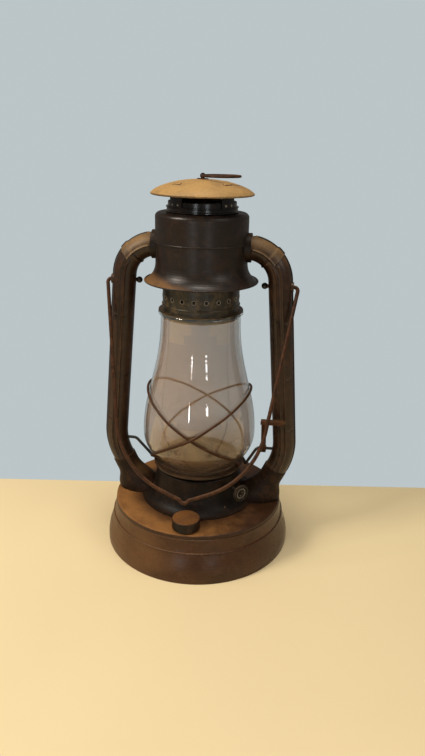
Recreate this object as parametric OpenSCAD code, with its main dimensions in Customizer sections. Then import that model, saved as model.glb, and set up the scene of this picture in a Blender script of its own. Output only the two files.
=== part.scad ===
// Hurricane lantern: a tubular oil lantern that stands on its fount and hangs from a wire bail.
// Sizes are in millimetres. +Z is up, the filler is at the front (-Y), the side tubes lie along X,
// and the origin is the centre of the circle that the foot stands on.

/* [Sheet metal and fits] */
// Thickness of the sheet metal
sheet = 0.8; // [0.6:0.1:1.2]
// Gap between soldered or seamed pieces
seat_gap = 0.1; // [0.05:0.05:0.2]
// Radial clearance of a turning pin in its hole
run_gap = 0.05; // [0.02:0.01:0.1]
// Gap between pieces that move past each other
move_gap = 0.4; // [0.3:0.1:0.6]

/* [Fount] */
// Radius of the skirt at the foot
base_r = 96.6; // [93:0.2:102]
// Height of the straight band above the foot
base_band = 5; // [4:0.5:8]
// Width of the flat hem that the lantern stands on
hem_w = 3; // [2:0.5:5]
// Height of the hem
hem_h = 2.2; // [1.5:0.1:3]
// How far the shoulder lies inside the foot
shoulder_in = 9.4; // [7:0.2:12]
// Height of the flat deck
deck_z = 48; // [45:0.5:54]
// Height of the lip that the deck folds over the skirt
lip_h = 4; // [3:0.5:6]
// Height of the bead round the skirt
bead_z = 30; // [22:1:36]
// Radius of the raised beads on the sheet metal
bead_r = 0.9; // [0.6:0.1:1.4]

/* [Filler] */
// Distance of the filler's middle from the shoulder
filler_in = 14.7; // [14.2:0.1:15.2]
// Outer radius of the filler neck
neck_r = 10.5; // [9:0.25:11]
// Height of the filler neck over the deck
neck_h = 9; // [7:0.5:12]
// Outer radius of the filler cap
filler_cap_r = 13.7; // [13:0.1:14.5]
// Thickness of the gasket
gasket_t = 1; // [0.8:0.1:1.5]

/* [Air chamber] */
// Gap between the chamber's rim and the filler's flange
bell_gap = 0.7; // [0.5:0.1:2]
// Width of the chamber's flat rim on the deck
bell_rim = 2.5; // [2:0.1:3]
// Radius of the chamber at its top
bell_top_r = 44; // [43:0.5:46]
// Height of the top of the chamber
bell_top_z = 82; // [80:0.5:82.5]

/* [Burner and wick] */
// Radius of the burner body
burner_r = 22; // [20:0.5:24]
// Outer radius of the collar that holds the burner in the deck
collar_r = 16.9; // [15:0.1:18]
// Height of the collar over the deck
collar_h = 5; // [4:0.5:7]
// Height of the top of the burner body
burner_top_z = 78; // [77:0.5:79]
// Height of the burner cone
cone_h = 27; // [22:0.5:30]
// Width of the wick
wick_w = 17.6; // [14:0.2:20]
// Thickness of the wick
wick_t = 2.4; // [2:0.1:3]
// Height of the top of the wick
wick_top_z = 100; // [96:0.5:102]
// Direction of the wick shaft, turned from +X
wick_az = -45; // [-60:1:-30]
// Height of the wick shaft
shaft_z = 73; // [70:0.5:74]
// Radius of the wick shaft
shaft_r = 1.6; // [1.2:0.1:2]
// Radius of the star wheels over their points
wheel_r = 4.1; // [3.5:0.1:4.5]
// Radius of the thumb wheel
knob_r = 8.8; // [7:0.2:10]
// Distance of the thumb wheel along its shaft
knob_at = 64; // [61:0.5:68]

/* [Side tubes] */
// Outer radius of the tubes
tube_r = 11.1; // [10.5:0.1:12]
// Distance of the arch's centre from the lantern's axis
arch_x = 43.2; // [43:0.2:45]
// Height of the arch's centre
arch_z = 277.2; // [275:0.1:279]
// Radius of the arch along the tube's middle
arch_r = 31.7; // [30.5:0.1:33]
// Outward lean of the tubes going down
lean = 4.6; // [3:0.1:6]
// Angle over the level at which the elbow ends
elbow_end = 36; // [30:1:40]
// Height at which the lower bend starts
bend_z = 116; // [112:1:120]
// Radius of the lower bend
bend_r = 60; // [55:1:65]
// Inward lean of the tube below the bend
foot_lean = 24; // [20:1:27]
// Length of the plain end that goes into the foot
tail = 13; // [11:0.5:15]
// Height of the ridges and of the folded seam along the tubes
seam_r = 1; // [0.8:0.1:1.4]
// Reach of the foot along the deck, in front of and behind its middle
foot_b = 17; // [15:0.5:20]
// Distance of the foot's middle on the deck from the shoulder
foot_in = 25.2; // [24.6:0.1:27]
// Half length of the foot on the deck
foot_a = 24; // [22:0.5:24.5]

/* [Hood] */
// Radius of the hood
hood_r = 43.5; // [42:0.5:45]
// Height of the hood's top
hood_top_z = 339.7; // [336:0.5:341]
// Height of the hood's flared edge
hood_edge_z = 277; // [274:0.5:280]
// Radius of the hood's flared edge
flare_r = 53.6; // [50:0.2:54]
// Radius of the hood's rounded shoulder
hood_fillet = 4; // [2:0.5:6]
// Height of the bead round the hood
hood_bead_z = 313; // [308:0.5:325]

/* [Globe and its carriage] */
// Height of the globe plate's underside
plate_z = 86; // [85.5:0.5:88]
// Radius of the globe plate
plate_r = 47; // [46:0.5:48]
// Radius of the globe at its foot
globe_foot_r = 42.4; // [41:0.2:43]
// Largest radius of the globe
globe_r = 57.4; // [54:0.2:58]
// Height of the globe's widest place over the plate
globe_belly = 34; // [28:1:38]
// Height of the globe's rim
globe_top_z = 248; // [244:0.5:250]
// Middle radius of the rim of the globe
globe_rim_r = 39.6; // [39:0.2:40.5]
// Thickness of the glass
glass_t = 2; // [1.6:0.1:2.2]
// Diameter of the guard wires
guard_d = 2.6; // [2:0.1:3]
// Height of the place where the guard wires cross
guard_z = 134.8; // [125:1:140]
// Rise of the guard from the crossing to its high side
guard_rise = 34; // [26:1:38]

/* [Globe lift] */
// Height of the crank's axis
crank_z = 104.5; // [103:0.5:106]
// Diameter of the crank wire
crank_d = 3; // [2.6:0.1:3.2]
// Distance of the yoke behind the lantern's axis
yoke_y = 42; // [41:0.5:43]
// Distance of the yoke's corners from the lantern's axis
yoke_x = 49.5; // [49.5:0.5:52]
// Slope of the crank's arm on the right
arm_slope = 60; // [55:1:65]
// Slope of the crank's arm on the left
left_slope = 48; // [45:1:60]
// Bend radius of the crank's arms
arm_bend = 6; // [4:0.5:8]
// Distance of the lever from the lantern's axis
lever_x = 67.5; // [67:0.5:69]
// Width of the lever
lever_w = 5; // [4:0.5:6]
// Height of the thumb piece over the crank's axis
lever_h = 38.5; // [34:0.5:42]
// Reach of the lever to the front of the crank's axis
lever_reach = 15.5; // [14.5:0.5:17]
// Length of the thumb piece
thumb_l = 24; // [18:0.5:28]
// Depth of the thumb piece
thumb_d = 11; // [8:0.5:14]

/* [Chimney] */
// Radius of the perforated collar over the globe
holder_r = 36.9; // [36.3:0.1:37]
// Height of the perforated collar's shoulder
holder_top_z = 285; // [282:0.5:288]
// Height of the row of holes
vent_z = 262.5; // [258:0.5:268]
// Number of holes
vent_n = 20; // [12:1:24]
// Radius of the holes
vent_r = 1.8; // [1:0.1:2]
// Radius of the chimney tube
chimney_r = 30.3; // [29:0.1:31]
// Height of the neck ring over the hood
neck_ring_h = 9.6; // [8:0.2:11]
// Largest radius of the neck ring
neck_ring_r = 33.4; // [33:0.1:34.5]
// Radius of the cap's rim
cap_r = 47.3; // [44:0.2:50]
// Height of the cap's rim
cap_z = 355.8; // [354:0.2:358]
// Height of the dome over the rim
dome_h = 12.6; // [10:0.2:15]
// Width of the straps that carry the cap, in degrees
strap_arc = 28; // [20:1:34]
// Direction of the straps from the chimney's front and back
strap_az = 47; // [40:1:50]
// Turn of the chimney in the hood
chimney_turn = 8; // [0:1:20]
// Radius of the lift ring
ring_r = 17; // [14:0.5:18]
// Diameter of the lift ring's wire
ring_d = 2.2; // [1.8:0.1:2.6]
// Outer radius of the ring's eye
eye_r = 2.5; // [2.3:0.1:3]
// Length of the ring's eye
eye_l = 2.4; // [2:0.1:2.6]
// Diameter of the spring's wire
spring_d = 1.8; // [1.4:0.1:2]
// Middle radius of the spring
spring_r = 34; // [33.5:0.1:34.5]
// Number of curls of the spring
spring_n = 6; // [4:1:7]

/* [Bail] */
// Height of the bail's axis
bail_z = 274; // [272:0.5:275]
// Diameter of the bail wire
bail_d = 3.6; // [3:0.1:4]
// Distance of the bail's legs from the lantern's axis, at their top
leg_x = 91.8; // [91.4:0.1:93]
// Inward slope of the legs
leg_in = 8.7; // [8:0.1:9.8]
// Length of the straight legs
leg_l = 135; // [128:1:144]
// Radius of the bow's corners
bow_r = 80; // [70:1:88]
// Slope of the bow's sides
bow_slope = 21; // [16:1:26]
// Forward swing of the hanging bail
bail_tilt = 24; // [24:0.5:30]
// Radius of the bends of the hanging notch
notch_r = 4; // [3:0.5:5]
// Radius of the heads inside the tubes
head_r = 3.1; // [2.6:0.1:3.4]

/* [Hidden] */
$fn = 72;

// Sizes that follow from others.
shoulder_r = base_r - shoulder_in;
filler_y = shoulder_r - filler_in;
foot_x = shoulder_r - foot_in;
neck_flange = 1.3;
bell_base_r = filler_y - neck_r - neck_flange - bell_gap - bell_rim;

// Outlines and sweeps.
function bez(a, b, c, d, n) = [for (i = [0:n]) let (t = i / n, u = 1 - t)
  u * u * u * a + 3 * u * u * t * b + 3 * u * t * t * c + t * t * t * d];
function rev(v) = [for (i = [len(v) - 1:-1:0]) v[i]];
function unit(v) = v / norm(v);
function left_of(p, i) = let (d = unit(p[min(i + 1, len(p) - 1)] - p[max(i - 1, 0)])) [-d[1], d[0]];
function inset(p, t) = [for (i = [0:len(p) - 1]) p[i] + t * left_of(p, i)];
function at_z(p, z) = lookup(z, [for (q = p) [q[1], q[0]]]);
function ease(t) = (1 - cos(180 * t)) / 2;

// A turned sheet whose outer outline runs upwards and inwards.
module turned(outline, t = sheet) rotate_extrude() polygon(concat(outline, rev(inset(outline, t))));

// A turned ring of round wire or a raised bead.
module bead(r, z, wire) rotate_extrude() translate([r, z]) circle(wire);

// A turned ring of square section.
module band(r0, r1, z0, z1) rotate_extrude() translate([r0, z0]) square([r1 - r0, z1 - z0]);

// A pin along X.
module pin_x(x0, x1, r, z = 0) translate([x0, 0, z]) rotate([0, 90, 0]) cylinder(r = r, h = x1 - x0);

// A skin of triangles over equal rings of points, closed at both ends.
function skin_faces(n, m) = concat(
  [for (k = [0:n - 2], j = [0:m - 1]) each let (a = k * m + j, b = k * m + (j + 1) % m)
    [[a, b, a + m], [b, b + m, a + m]]],
  [for (j = [1:m - 2]) [0, j + 1, j]],
  [for (j = [1:m - 2]) let (e = (n - 1) * m) [e, e + j, e + j + 1]]);
module skin(rings) polyhedron([for (ring = rings) each ring], skin_faces(len(rings), len(rings[0])));

// A round wire of m sides along a path, kept upright by a guide direction.
function wire_ring(p, i, r, m, guide) = let (
    d = unit(p[min(i + 1, len(p) - 1)] - p[max(i - 1, 0)]),
    u = unit(cross(d, guide)), v = cross(u, d))
  [for (j = [0:m - 1]) p[i] + r * (cos(360 * j / m) * u + sin(360 * j / m) * v)];

// Points of a bent wire that starts along +X: [length, bend radius, bend angle] in turn, a point per step.
function bent(runs, step, i = 0, p = [0, 0], h = 0) = i == len(runs) ? [] : let (
    q = p + runs[i][0] * [cos(h), sin(h)], turn = runs[i][2], r = sign(turn) * runs[i][1],
    c = q + r * [-sin(h), cos(h)], n = ceil(abs(turn) / step))
  concat(runs[i][0] > 0 ? [q] : [], [for (j = [1:n]) let (a = h + turn * j / n) c + r * [sin(a), -cos(a)]],
    bent(runs, step, i + 1, c + r * [sin(h + turn), -cos(h + turn)], h + turn));

// Both hands of a piece that is drawn on the right.
module hand(left) mirror([left ? 1 : 0, 0, 0]) children();

// The middle line of a side tube, on the right.
arch_end = [arch_x + arch_r * cos(lean), arch_z + arch_r * sin(lean)];
run_l = (arch_end[1] - bend_z) / cos(lean);
bend_start = arch_end + run_l * [sin(lean), -cos(lean)];
bend_c = bend_start - bend_r * [cos(lean), sin(lean)];
bend_end = bend_c + bend_r * [cos(foot_lean), -sin(foot_lean)];
tail_end = bend_end + tail * [-sin(foot_lean), -cos(foot_lean)];
sleeve = 7;
entry_z = arch_z + arch_r;
function tube_x(z) = arch_end[0] + (arch_end[1] - z) * tan(lean);

// Stations along a tube: [x, z, direction of the outer side, seam height, change of radius].
function arc_stations(c, r, a0, a1, n, seam = 0, grow = 0) = [for (i = [0:n]) let (a = a0 + (a1 - a0) * i / n)
  [c[0] + r * cos(a), c[1] + r * sin(a), a, seam, grow]];
function arch(a0, a1, n, seam = 0, grow = 0) = arc_stations([arch_x, arch_z], arch_r, a0, a1, n, seam, grow);
function below(p, l, extra = 0) = let (q = p + l * [-sin(foot_lean), -cos(foot_lean)])
  [q[0], q[1], -foot_lean, extra, 0];
// A tube has a ridge in front, a ridge behind and a folded seam on its outer side.
function ridge(j, m) = j % (m / 4) == 0 && j != m / 2;
function tube_ring(s, r, m) = [for (j = [0:m - 1]) let (t = 360 * j / m,
    q = r + s[4] + (ridge(j, m) ? s[3] : 0))
  [s[0] + q * cos(t) * cos(s[2]), q * sin(t), s[1] + q * cos(t) * sin(s[2])]];
module tube(stations, r, m) skin([for (s = stations) tube_ring(s, r, m)]);
tube_m = 40;
elbow_lap = 13;
elbow_join = elbow_end + elbow_lap;
lap_line = arch(elbow_join, elbow_end - 4, 4);
tube_line = concat([arch(elbow_join - 0.5, 0, 1)[0]], [for (i = [1:4]) lap_line[i]],
  arch(elbow_end - 5, lean, 4, seam_r),
  arc_stations(bend_c, bend_r, lean, -foot_lean, 5, seam_r), [below(bend_end, 1.5), below(bend_end, tail)]);
bore_line = concat(arch(elbow_join + 2, lean, 6), arc_stations(bend_c, bend_r, lean, -foot_lean, 5),
  [below(bend_end, tail + 2)]);
bail_r = bail_d / 2;
crank_r = crank_d / 2;
module side_tube() color("saddlebrown") difference() {
  tube(tube_line, tube_r, tube_m);
  tube(bore_line, tube_r - sheet, 24);
  pin_x(0, base_r * 2, bail_r + run_gap, bail_z);
  pin_x(0, bend_start[0] - tube_r / 2, crank_r + run_gap, crank_z);
}

// The formed foot that spreads the tube on to the deck and into the chamber.
foot_wall = tube_r + seat_gap;
foot_top = bend_end + (tail - sleeve - 2) * [-sin(foot_lean), -cos(foot_lean)];
foot_mid = foot_top + sleeve * [-sin(foot_lean), -cos(foot_lean)];
function foot_ring(c, tilt, a, b, m) = [for (j = [0:m - 1]) let (t = 360 * j / m)
  [c[0] + a * cos(t) * cos(tilt), b * sin(t), c[1] - a * cos(t) * sin(tilt)]];
foot_line = bez(foot_mid, foot_mid + 8 * [-sin(foot_lean), -cos(foot_lean)],
  [foot_x + 4, deck_z + 12], [foot_x, deck_z], 6);
function foot_rings(grow, extra) = concat(
  [for (s = [-extra, sleeve]) foot_ring(foot_top + s * [-sin(foot_lean), -cos(foot_lean)], foot_lean,
    foot_wall + grow, foot_wall + grow, 36)],
  [for (k = [1:6]) let (t = pow(ease(k / 6), 1.5))
    foot_ring(foot_line[k], foot_lean * (1 - k / 6),
      foot_wall * (1 - t) + (foot_a - sheet) * t + grow, foot_wall * (1 - t) + (foot_b - sheet) * t + grow, 36)],
  extra > 0 ? [foot_ring([foot_x, deck_z - extra], 0, foot_a - sheet + grow, foot_b - sheet + grow, 36)] : []);
module tube_foot() color("peru") difference() {
  skin(foot_rings(sheet, 0));
  skin(foot_rings(0, 1));
  rotate_extrude() polygon(concat([[0, deck_z - 1], [bell_base_r + 4, deck_z - 1],
    [bell_base_r + 4, deck_z + sheet + seat_gap]], [for (p = bell_curve) p + [seat_gap, seat_gap]],
    [[0, bell_top_z + 4]]));
}

// The elbows from the tubes to the hood, whose ridges start outside the ferrule.
ferrule_w = 3.4;
ferrule_gap = 0.3;
elbow_in = hood_r - 1.6;
bore_over = 2.7;
function arch_at(x) = 90 - asin(max(0, (x - arch_x) / arch_r));
ridge_a = arch_at(hood_r + ferrule_w + 1.8);
elbow_line = concat(elbow_in < arch_x ? [[elbow_in, entry_z, 90, 0, 0]] : [],
  arch(arch_at(elbow_in), ridge_a + 1, 2), arch(ridge_a, elbow_join + 1, 7, seam_r));
elbow_bore = concat([[min(arch_x, elbow_in) - bore_over, entry_z, 90, 0, -sheet]],
  arch(90, elbow_join + 1, 8, 0, -sheet), arch(elbow_join, elbow_end - 4, 4, 0, seat_gap));
// Each elbow laps over its tube and ends in a tip along the front ridge and the back ridge.
function elbow_tip(t) = elbow_end + lookup(t > 180 ? 360 - t : t, [[0, 3], [72, 1], [90, -1], [108, 8], [180, 9]]);
function lap_ring(u, m) = [for (j = [0:m - 1]) let (t = 360 * j / m,
    a = elbow_join + (elbow_tip(t) - elbow_join) * u,
    q = tube_r + seat_gap + sheet + (ridge(j, m) ? seam_r : 0), d = arch_r + q * cos(t))
  [arch_x + d * cos(a), q * sin(t), arch_z + d * sin(a)]];
module top_elbow() color("tan") difference() {
  skin(concat([for (s = elbow_line) tube_ring(s, tube_r, tube_m)], [for (i = [0:3]) lap_ring(i / 3, tube_m)]));
  tube(elbow_bore, tube_r, tube_m);
}
module ferrule() color("dimgray") difference() {
  pin_x(hood_r - 3, hood_r + ferrule_w, tube_r + 2.4, entry_z);
  tube(concat([[0, entry_z, 90, 0, ferrule_gap]], arch(90, ridge_a - 6, 4, 0, ferrule_gap)), tube_r, tube_m);
  cylinder(r = hood_r + 0.02, h = hood_top_z);
  bead(hood_r, hood_bead_z, bead_r + 0.02);
}
leg_bend = 3.6;
leg_start = leg_x - leg_bend;
boss_x = leg_start - 0.2;
module bail_boss() color("sienna") difference() {
  pin_x(tube_x(bail_z), boss_x, bail_d * 1.3, bail_z);
  pin_x(0, base_r * 2, bail_r + run_gap, bail_z);
  translate([arch_end[0], 0, arch_end[1]]) rotate([0, -lean, 0]) translate([0, 0, -run_l]) {
    cylinder(r = tube_r + 0.02, h = run_l + tube_r);
    translate([tube_r - 1, -tube_r / 5, 0]) cube([seam_r + 1.1, tube_r * 2 / 5, run_l + tube_r]);
  }
}

// The fount.
lip_r = shoulder_r - sheet - seat_gap;
waist_r = shoulder_r + 0.3;
lip_z = deck_z - lip_h;
skirt_curve = bez([base_r, base_band], [base_r, base_band + 11], [waist_r + 1.5, lip_z - 18],
  [waist_r, lip_z - 0.6], 14);
module fount_skirt() color("sienna") union() {
  turned(concat([[base_r, 0]], skirt_curve, [[lip_r, lip_z], [lip_r, deck_z - 2]]));
  band(base_r - hem_w, base_r - sheet / 2, 0, hem_h);
  bead(at_z(skirt_curve, bead_z), bead_z, bead_r);
}
floor_r = base_r - sheet - seat_gap;
floor_z = base_band * 1.2;
floor_bend = sheet * 2;
module fount_floor() color("gray") turned([[floor_r, hem_h + seat_gap], [floor_r, floor_z - floor_bend],
  [floor_r - floor_bend, floor_z], [0, floor_z]]);
module fount_deck() color("peru") difference() {
  turned(concat([[shoulder_r, lip_z]],
    bez([shoulder_r, deck_z - 1.8], [shoulder_r, deck_z - 0.6], [shoulder_r - 0.9, deck_z],
      [shoulder_r - 2.4, deck_z], 5), [[collar_r + seat_gap, deck_z]]));
  translate([0, -filler_y, 0]) cylinder(r = neck_r + seat_gap, h = deck_z * 2);
}

// The filler.
neck_top = deck_z + neck_h;
gasket_r = neck_r + 0.7;
module at_filler() translate([0, -filler_y, 0]) children();
module filler_neck() color("dimgray") at_filler() {
  band(neck_r - 1, neck_r, deck_z - 3, neck_top);
  band(neck_r - sheet / 2, neck_r + neck_flange, deck_z, deck_z + sheet);
}
module filler_gasket() color("black") at_filler()
  band(neck_r - 2.5, gasket_r, neck_top, neck_top + gasket_t);
cap_top = neck_top + gasket_t + 1.4;
cap_low = deck_z + sheet + move_gap;
module filler_cap() color("dimgray") at_filler() rotate_extrude() polygon(concat(
  [[gasket_r + move_gap, cap_low], [filler_cap_r - 0.4, cap_low], [filler_cap_r, cap_low + 0.6]],
  bez([filler_cap_r, cap_top - 2], [filler_cap_r, cap_top - 0.7], [filler_cap_r - 0.8, cap_top],
    [filler_cap_r - 2.2, cap_top], 5),
  [[0, cap_top - 0.4], [0, cap_top - 1.4], [gasket_r + move_gap, cap_top - 1.4]]));

// The air chamber over the deck.
bell_curve = concat(bez([bell_base_r, deck_z + sheet], [bell_base_r - 7, deck_z + 2],
  [bell_top_r + 1.5, deck_z + 12], [bell_top_r, bell_top_z - 3], 12));
module air_bell() color("maroon") difference() {
  turned(concat([[bell_base_r + bell_rim, deck_z + sheet]], bell_curve,
    bez([bell_top_r, bell_top_z - 2], [bell_top_r, bell_top_z - 0.8], [bell_top_r - 0.8, bell_top_z],
      [bell_top_r - 2, bell_top_z], 4), [[bell_top_r - 5, bell_top_z]]));
  for (s = [false, true]) hand(s) skin(foot_rings(-seat_gap, 1));
  on_shaft() cylinder(r = shaft_r + move_gap, h = knob_at);
}

// The burner, the wick and its raiser.
collar_top = deck_z + collar_h;
spigot_r = collar_r - 1.7;
wick_off = wick_t / 2 + 0.3 + wheel_r;
module on_wick() rotate(wick_az) children();
module on_shaft() on_wick() translate([0, wick_off, shaft_z]) rotate([0, 90, 0]) children();
module slot(w, t, z0, z1) translate([-w / 2, -t / 2, z0]) cube([w, t, z1 - z0]);
module burner_collar() color("goldenrod") {
  band(spigot_r + seat_gap, collar_r, deck_z - 3, collar_top);
  band(collar_r - sheet / 2, collar_r + 2, deck_z, deck_z + sheet);
}
tube_in = 0.1;
tube_w = wick_w + 2 * tube_in + 1.2;
tube_t = wick_t + 2 * tube_in + 1.2;
module burner_body() color("goldenrod") difference() {
  union() {
    band(spigot_r - 1.2, spigot_r, deck_z - 1, collar_top + 0.5);
    cylinder(r = burner_r, h = 1.2 + collar_top);
    band(burner_r - 1, burner_r, collar_top, burner_top_z);
  }
  translate([0, 0, -1]) cylinder(r = burner_r * 2, h = deck_z);
  translate([0, 0, deck_z - 2]) cylinder(r = spigot_r - 1.2, h = collar_h + 2);
  band(spigot_r, burner_r * 2, deck_z - 2, collar_top);
  on_wick() slot(tube_w + 2 * seat_gap, tube_t + 2 * seat_gap, 0, burner_top_z);
  on_shaft() translate([0, 0, -burner_r * 2]) cylinder(r = shaft_r + run_gap, h = burner_r * 4);
  for (k = [0:11]) rotate(30 * k + 15) translate([burner_r, 0, collar_top + 7]) rotate([0, 90, 0])
    cylinder(r = 2.2, h = 6, center = true);
}
module draft_plate() color("gold") difference() {
  translate([0, 0, burner_top_z]) cylinder(r = burner_r, h = sheet);
  on_wick() slot(tube_w + 2 * seat_gap, tube_t + 2 * seat_gap, 0, burner_top_z * 2);
  for (k = [0:23]) rotate(15 * k) translate([burner_r * 0.76, 0, 0]) cylinder(r = 1.1, h = burner_top_z * 2);
}
cone_z = burner_top_z + sheet;
module burner_cone() color("gold") difference() {
  turned(concat([[burner_r, cone_z + sheet], [burner_r - 1.5, cone_z + sheet]],
    bez([burner_r - 2, cone_z + 2], [burner_r - 2, cone_z + cone_h * 0.62],
      [burner_r * 0.55, cone_z + cone_h], [2, cone_z + cone_h], 10), [[0, cone_z + cone_h]]));
  on_wick() slot(wick_w + 5, wick_t + 5, cone_z + cone_h / 2, cone_z + cone_h * 2);
}
module wick_tube() color("khaki") difference() {
  on_wick() slot(tube_w, tube_t, collar_top - 4, wick_top_z - 1.5);
  on_wick() slot(wick_w + 2 * tube_in, wick_t + 2 * tube_in, 0, wick_top_z * 2);
  for (s = wheel_at) on_shaft() translate([0, 0, s])
    cylinder(r = wheel_r + move_gap, h = wheel_t + 2 * move_gap, center = true);
}
wheel_t = 1.6;
wheel_at = [-wick_w / 4, wick_w / 4];
module wick() color("beige") on_wick() slot(wick_w, wick_t, floor_z + 9, wick_top_z);
module wick_shaft() color("darkgoldenrod") on_shaft()
  translate([0, 0, -burner_r - 1]) cylinder(r = shaft_r, h = burner_r + 1 + knob_at + 2.6);
module star_wheels() color("gray") on_shaft() for (s = wheel_at) translate([0, 0, s])
  difference() {
    linear_extrude(wheel_t, center = true) polygon([for (k = [0:15])
      (k % 2 == 0 ? wheel_r : wheel_r * 0.78) * [cos(22.5 * k), sin(22.5 * k)]]);
    cylinder(r = shaft_r, h = 9, center = true);
  }
module thumb_wheel() color("darkgoldenrod") on_shaft() translate([0, 0, knob_at]) difference() {
  rotate_extrude() polygon([[0, -1.6], [3, -1.6], [3, -0.4], [knob_r - 2, -0.4], [knob_r - 0.8, -1],
    [knob_r, -0.6], [knob_r, 1.4], [knob_r - 0.5, 1.8], [knob_r - 1.6, 1.8], [knob_r - 2.2, 0.8],
    [2.6, 0.8], [2.6, 1.6], [0, 1.6]]);
  cylinder(r = shaft_r, h = 9, center = true);
}

// The hood.
hole_r = chimney_r + move_gap;
module hood() color("dimgray") difference() {
  union() {
    turned(concat(bez([flare_r, hood_edge_z], [hood_r + 4, hood_edge_z + 3],
        [hood_r, hood_edge_z + 9], [hood_r, hood_edge_z + 17], 10),
      bez([hood_r, hood_top_z - hood_fillet], [hood_r, hood_top_z - hood_fillet * 0.45],
        [hood_r - hood_fillet * 0.55, hood_top_z], [hood_r - hood_fillet, hood_top_z], 6),
      [[hole_r, hood_top_z]]));
    bead(flare_r, hood_edge_z, bead_r);
    bead(hood_r, hood_bead_z, bead_r);
  }
  pin_x(-hood_r * 2, hood_r * 2, tube_r + seat_gap, entry_z);
}

// The globe and what carries it.
plate_top = plate_z + sheet;
hem_top = plate_z + 2 * sheet;
rim_in = globe_foot_r + 0.6;
hole_in = burner_r + 2;
module globe_plate() color("olive") difference() {
  union() {
    band(hole_in, plate_r, plate_z, plate_top);
    band(rim_in, plate_r, plate_z, hem_top);
    band(rim_in, rim_in + sheet, plate_z, plate_top + foot_h - 0.6);
    band(hole_in, hole_in + sheet, plate_z, plate_z + 2.6);
  }
  for (k = [0:23]) rotate(15 * k) translate([(hole_in + rim_in) / 2, 0, 0]) cylinder(r = 2.2, h = plate_z * 2);
}
belly_z = plate_top + globe_belly;
neck_in = globe_rim_r - 1.2;
foot_h = 4.6;
globe_curve = concat([[globe_foot_r, plate_top]],
  bez([globe_foot_r, plate_top + foot_h], [globe_foot_r + 3, plate_top + foot_h + 3],
    [globe_r, belly_z - globe_belly * 0.5], [globe_r, belly_z], 10),
  [for (p = bez([globe_r, belly_z], [globe_r, belly_z + 44], [neck_in + 0.4, belly_z + 66],
    [neck_in + 0.4, globe_top_z - 6], 16)) if (p[1] > belly_z) p]);
module globe() color([0.8, 0.9, 0.9, 0.4]) union() {
  turned(concat(globe_curve, [[neck_in + 0.4, globe_top_z - 3]]), glass_t - 0.8);
  bead(globe_rim_r, globe_top_z - 1.7, 1.7);
}
function globe_at(z) = at_z(globe_curve, z);
guard_r = guard_d / 2;
guard_foot = (rim_in + sheet + plate_r) / 2;
guard_low = hem_top + seat_gap;
guard_n = 30;
guard_turn = 162;
guard_step = guard_z - guard_low - 3;
// One guard passes over the other where they cross.
function guard_over(t) = let (a = abs(abs(t) - 90)) a < 24 ? (guard_d + move_gap) * (1 + cos(7.5 * a)) / 2 : 0;
function guard_point(t, over) = let (z = guard_z + (abs(t) < 90 ? guard_rise * cos(t)
      : -guard_step * (abs(t) - 90) / (guard_turn - 90)),
    slope = globe_at(z + 0.5) - globe_at(z - 0.5),
    r = max(guard_foot, globe_at(z) + (guard_r + move_gap) * sqrt(1 + slope * slope)) + over * guard_over(t))
  [-r * cos(t), r * sin(t), z];
function guard_end(s) = [-guard_foot * cos(guard_turn), s * guard_foot * sin(guard_turn), guard_low];
function guard_path(over) = concat([guard_end(-1)],
  [for (i = [-guard_n:guard_n]) guard_point(guard_turn * i / guard_n, over)], [guard_end(1)]);
module guard(over) color("chocolate") skin([let (line = guard_path(over)) for (i = [0:len(line) - 1])
  wire_ring(line, i, guard_r, 8, unit([line[i][0], line[i][1], 0]))]);

// The crank that lifts the globe, and its lever.
yoke_z = plate_z - 0.3 - crank_r;
yoke_c = (yoke_x * yoke_x - yoke_y * yoke_y) / (2 * yoke_y);
yoke_rad = yoke_y + yoke_c;
yoke_a = asin(yoke_c / yoke_rad);
drop = crank_z - yoke_z;
function arm_l(slope) = (drop - arm_bend * (1 - cos(slope))) / sin(slope);
function arm_x(slope) = yoke_x + arm_bend * sin(slope) + arm_l(slope) * cos(slope);
crank_end = bend_start[0] - tube_r / 2 - 1;
function arm_path(slope) = [for (p = bent([[crank_end - arm_x(slope) - 1, arm_bend, -slope],
  [arm_l(slope) - 3, 1, 0]], 12)) [crank_end - 1 - p[0], 0, crank_z + p[1]]];
function yoke_point(a) = [yoke_rad * cos(a), yoke_rad * sin(a) - yoke_c, yoke_z];
corner = [yoke_x, 0, yoke_z];
function half_yoke(slope) = let (x = arm_x(slope), arm = arm_path(slope), a = arm[len(arm) - 1],
    b = yoke_point(yoke_a + 4))
  concat([[x + 2, 0, crank_z]], [for (p = arm) if (p[0] < x + 1) p],
    [for (i = [1:3]) let (t = i / 4) (1 - t) * (1 - t) * a + 2 * t * (1 - t) * corner + t * t * b],
    [for (i = [0:8]) yoke_point(yoke_a + 4 + (86 - yoke_a) * i / 8)]);
left_yoke = half_yoke(left_slope);
crank_path = concat(half_yoke(arm_slope),
  [for (i = [len(left_yoke) - 2:-1:0]) let (p = left_yoke[i]) [-p[0], p[1], p[2]]]);
module lift_crank() color("black") union() {
  for (s = [false, true]) hand(s) pin_x(arm_x(s ? left_slope : arm_slope) + 1, crank_end, crank_r, crank_z);
  skin([for (i = [0:len(crank_path) - 1]) wire_ring(crank_path, i, crank_r - 0.03, 12, [0, 0.5, 0.87])]);
}
lever_t = 1.4;
lever_tail = 6;
thumb_back = 2;
hub_side = 0.4;
lever_slope = atan(lever_reach / lever_h);
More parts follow.
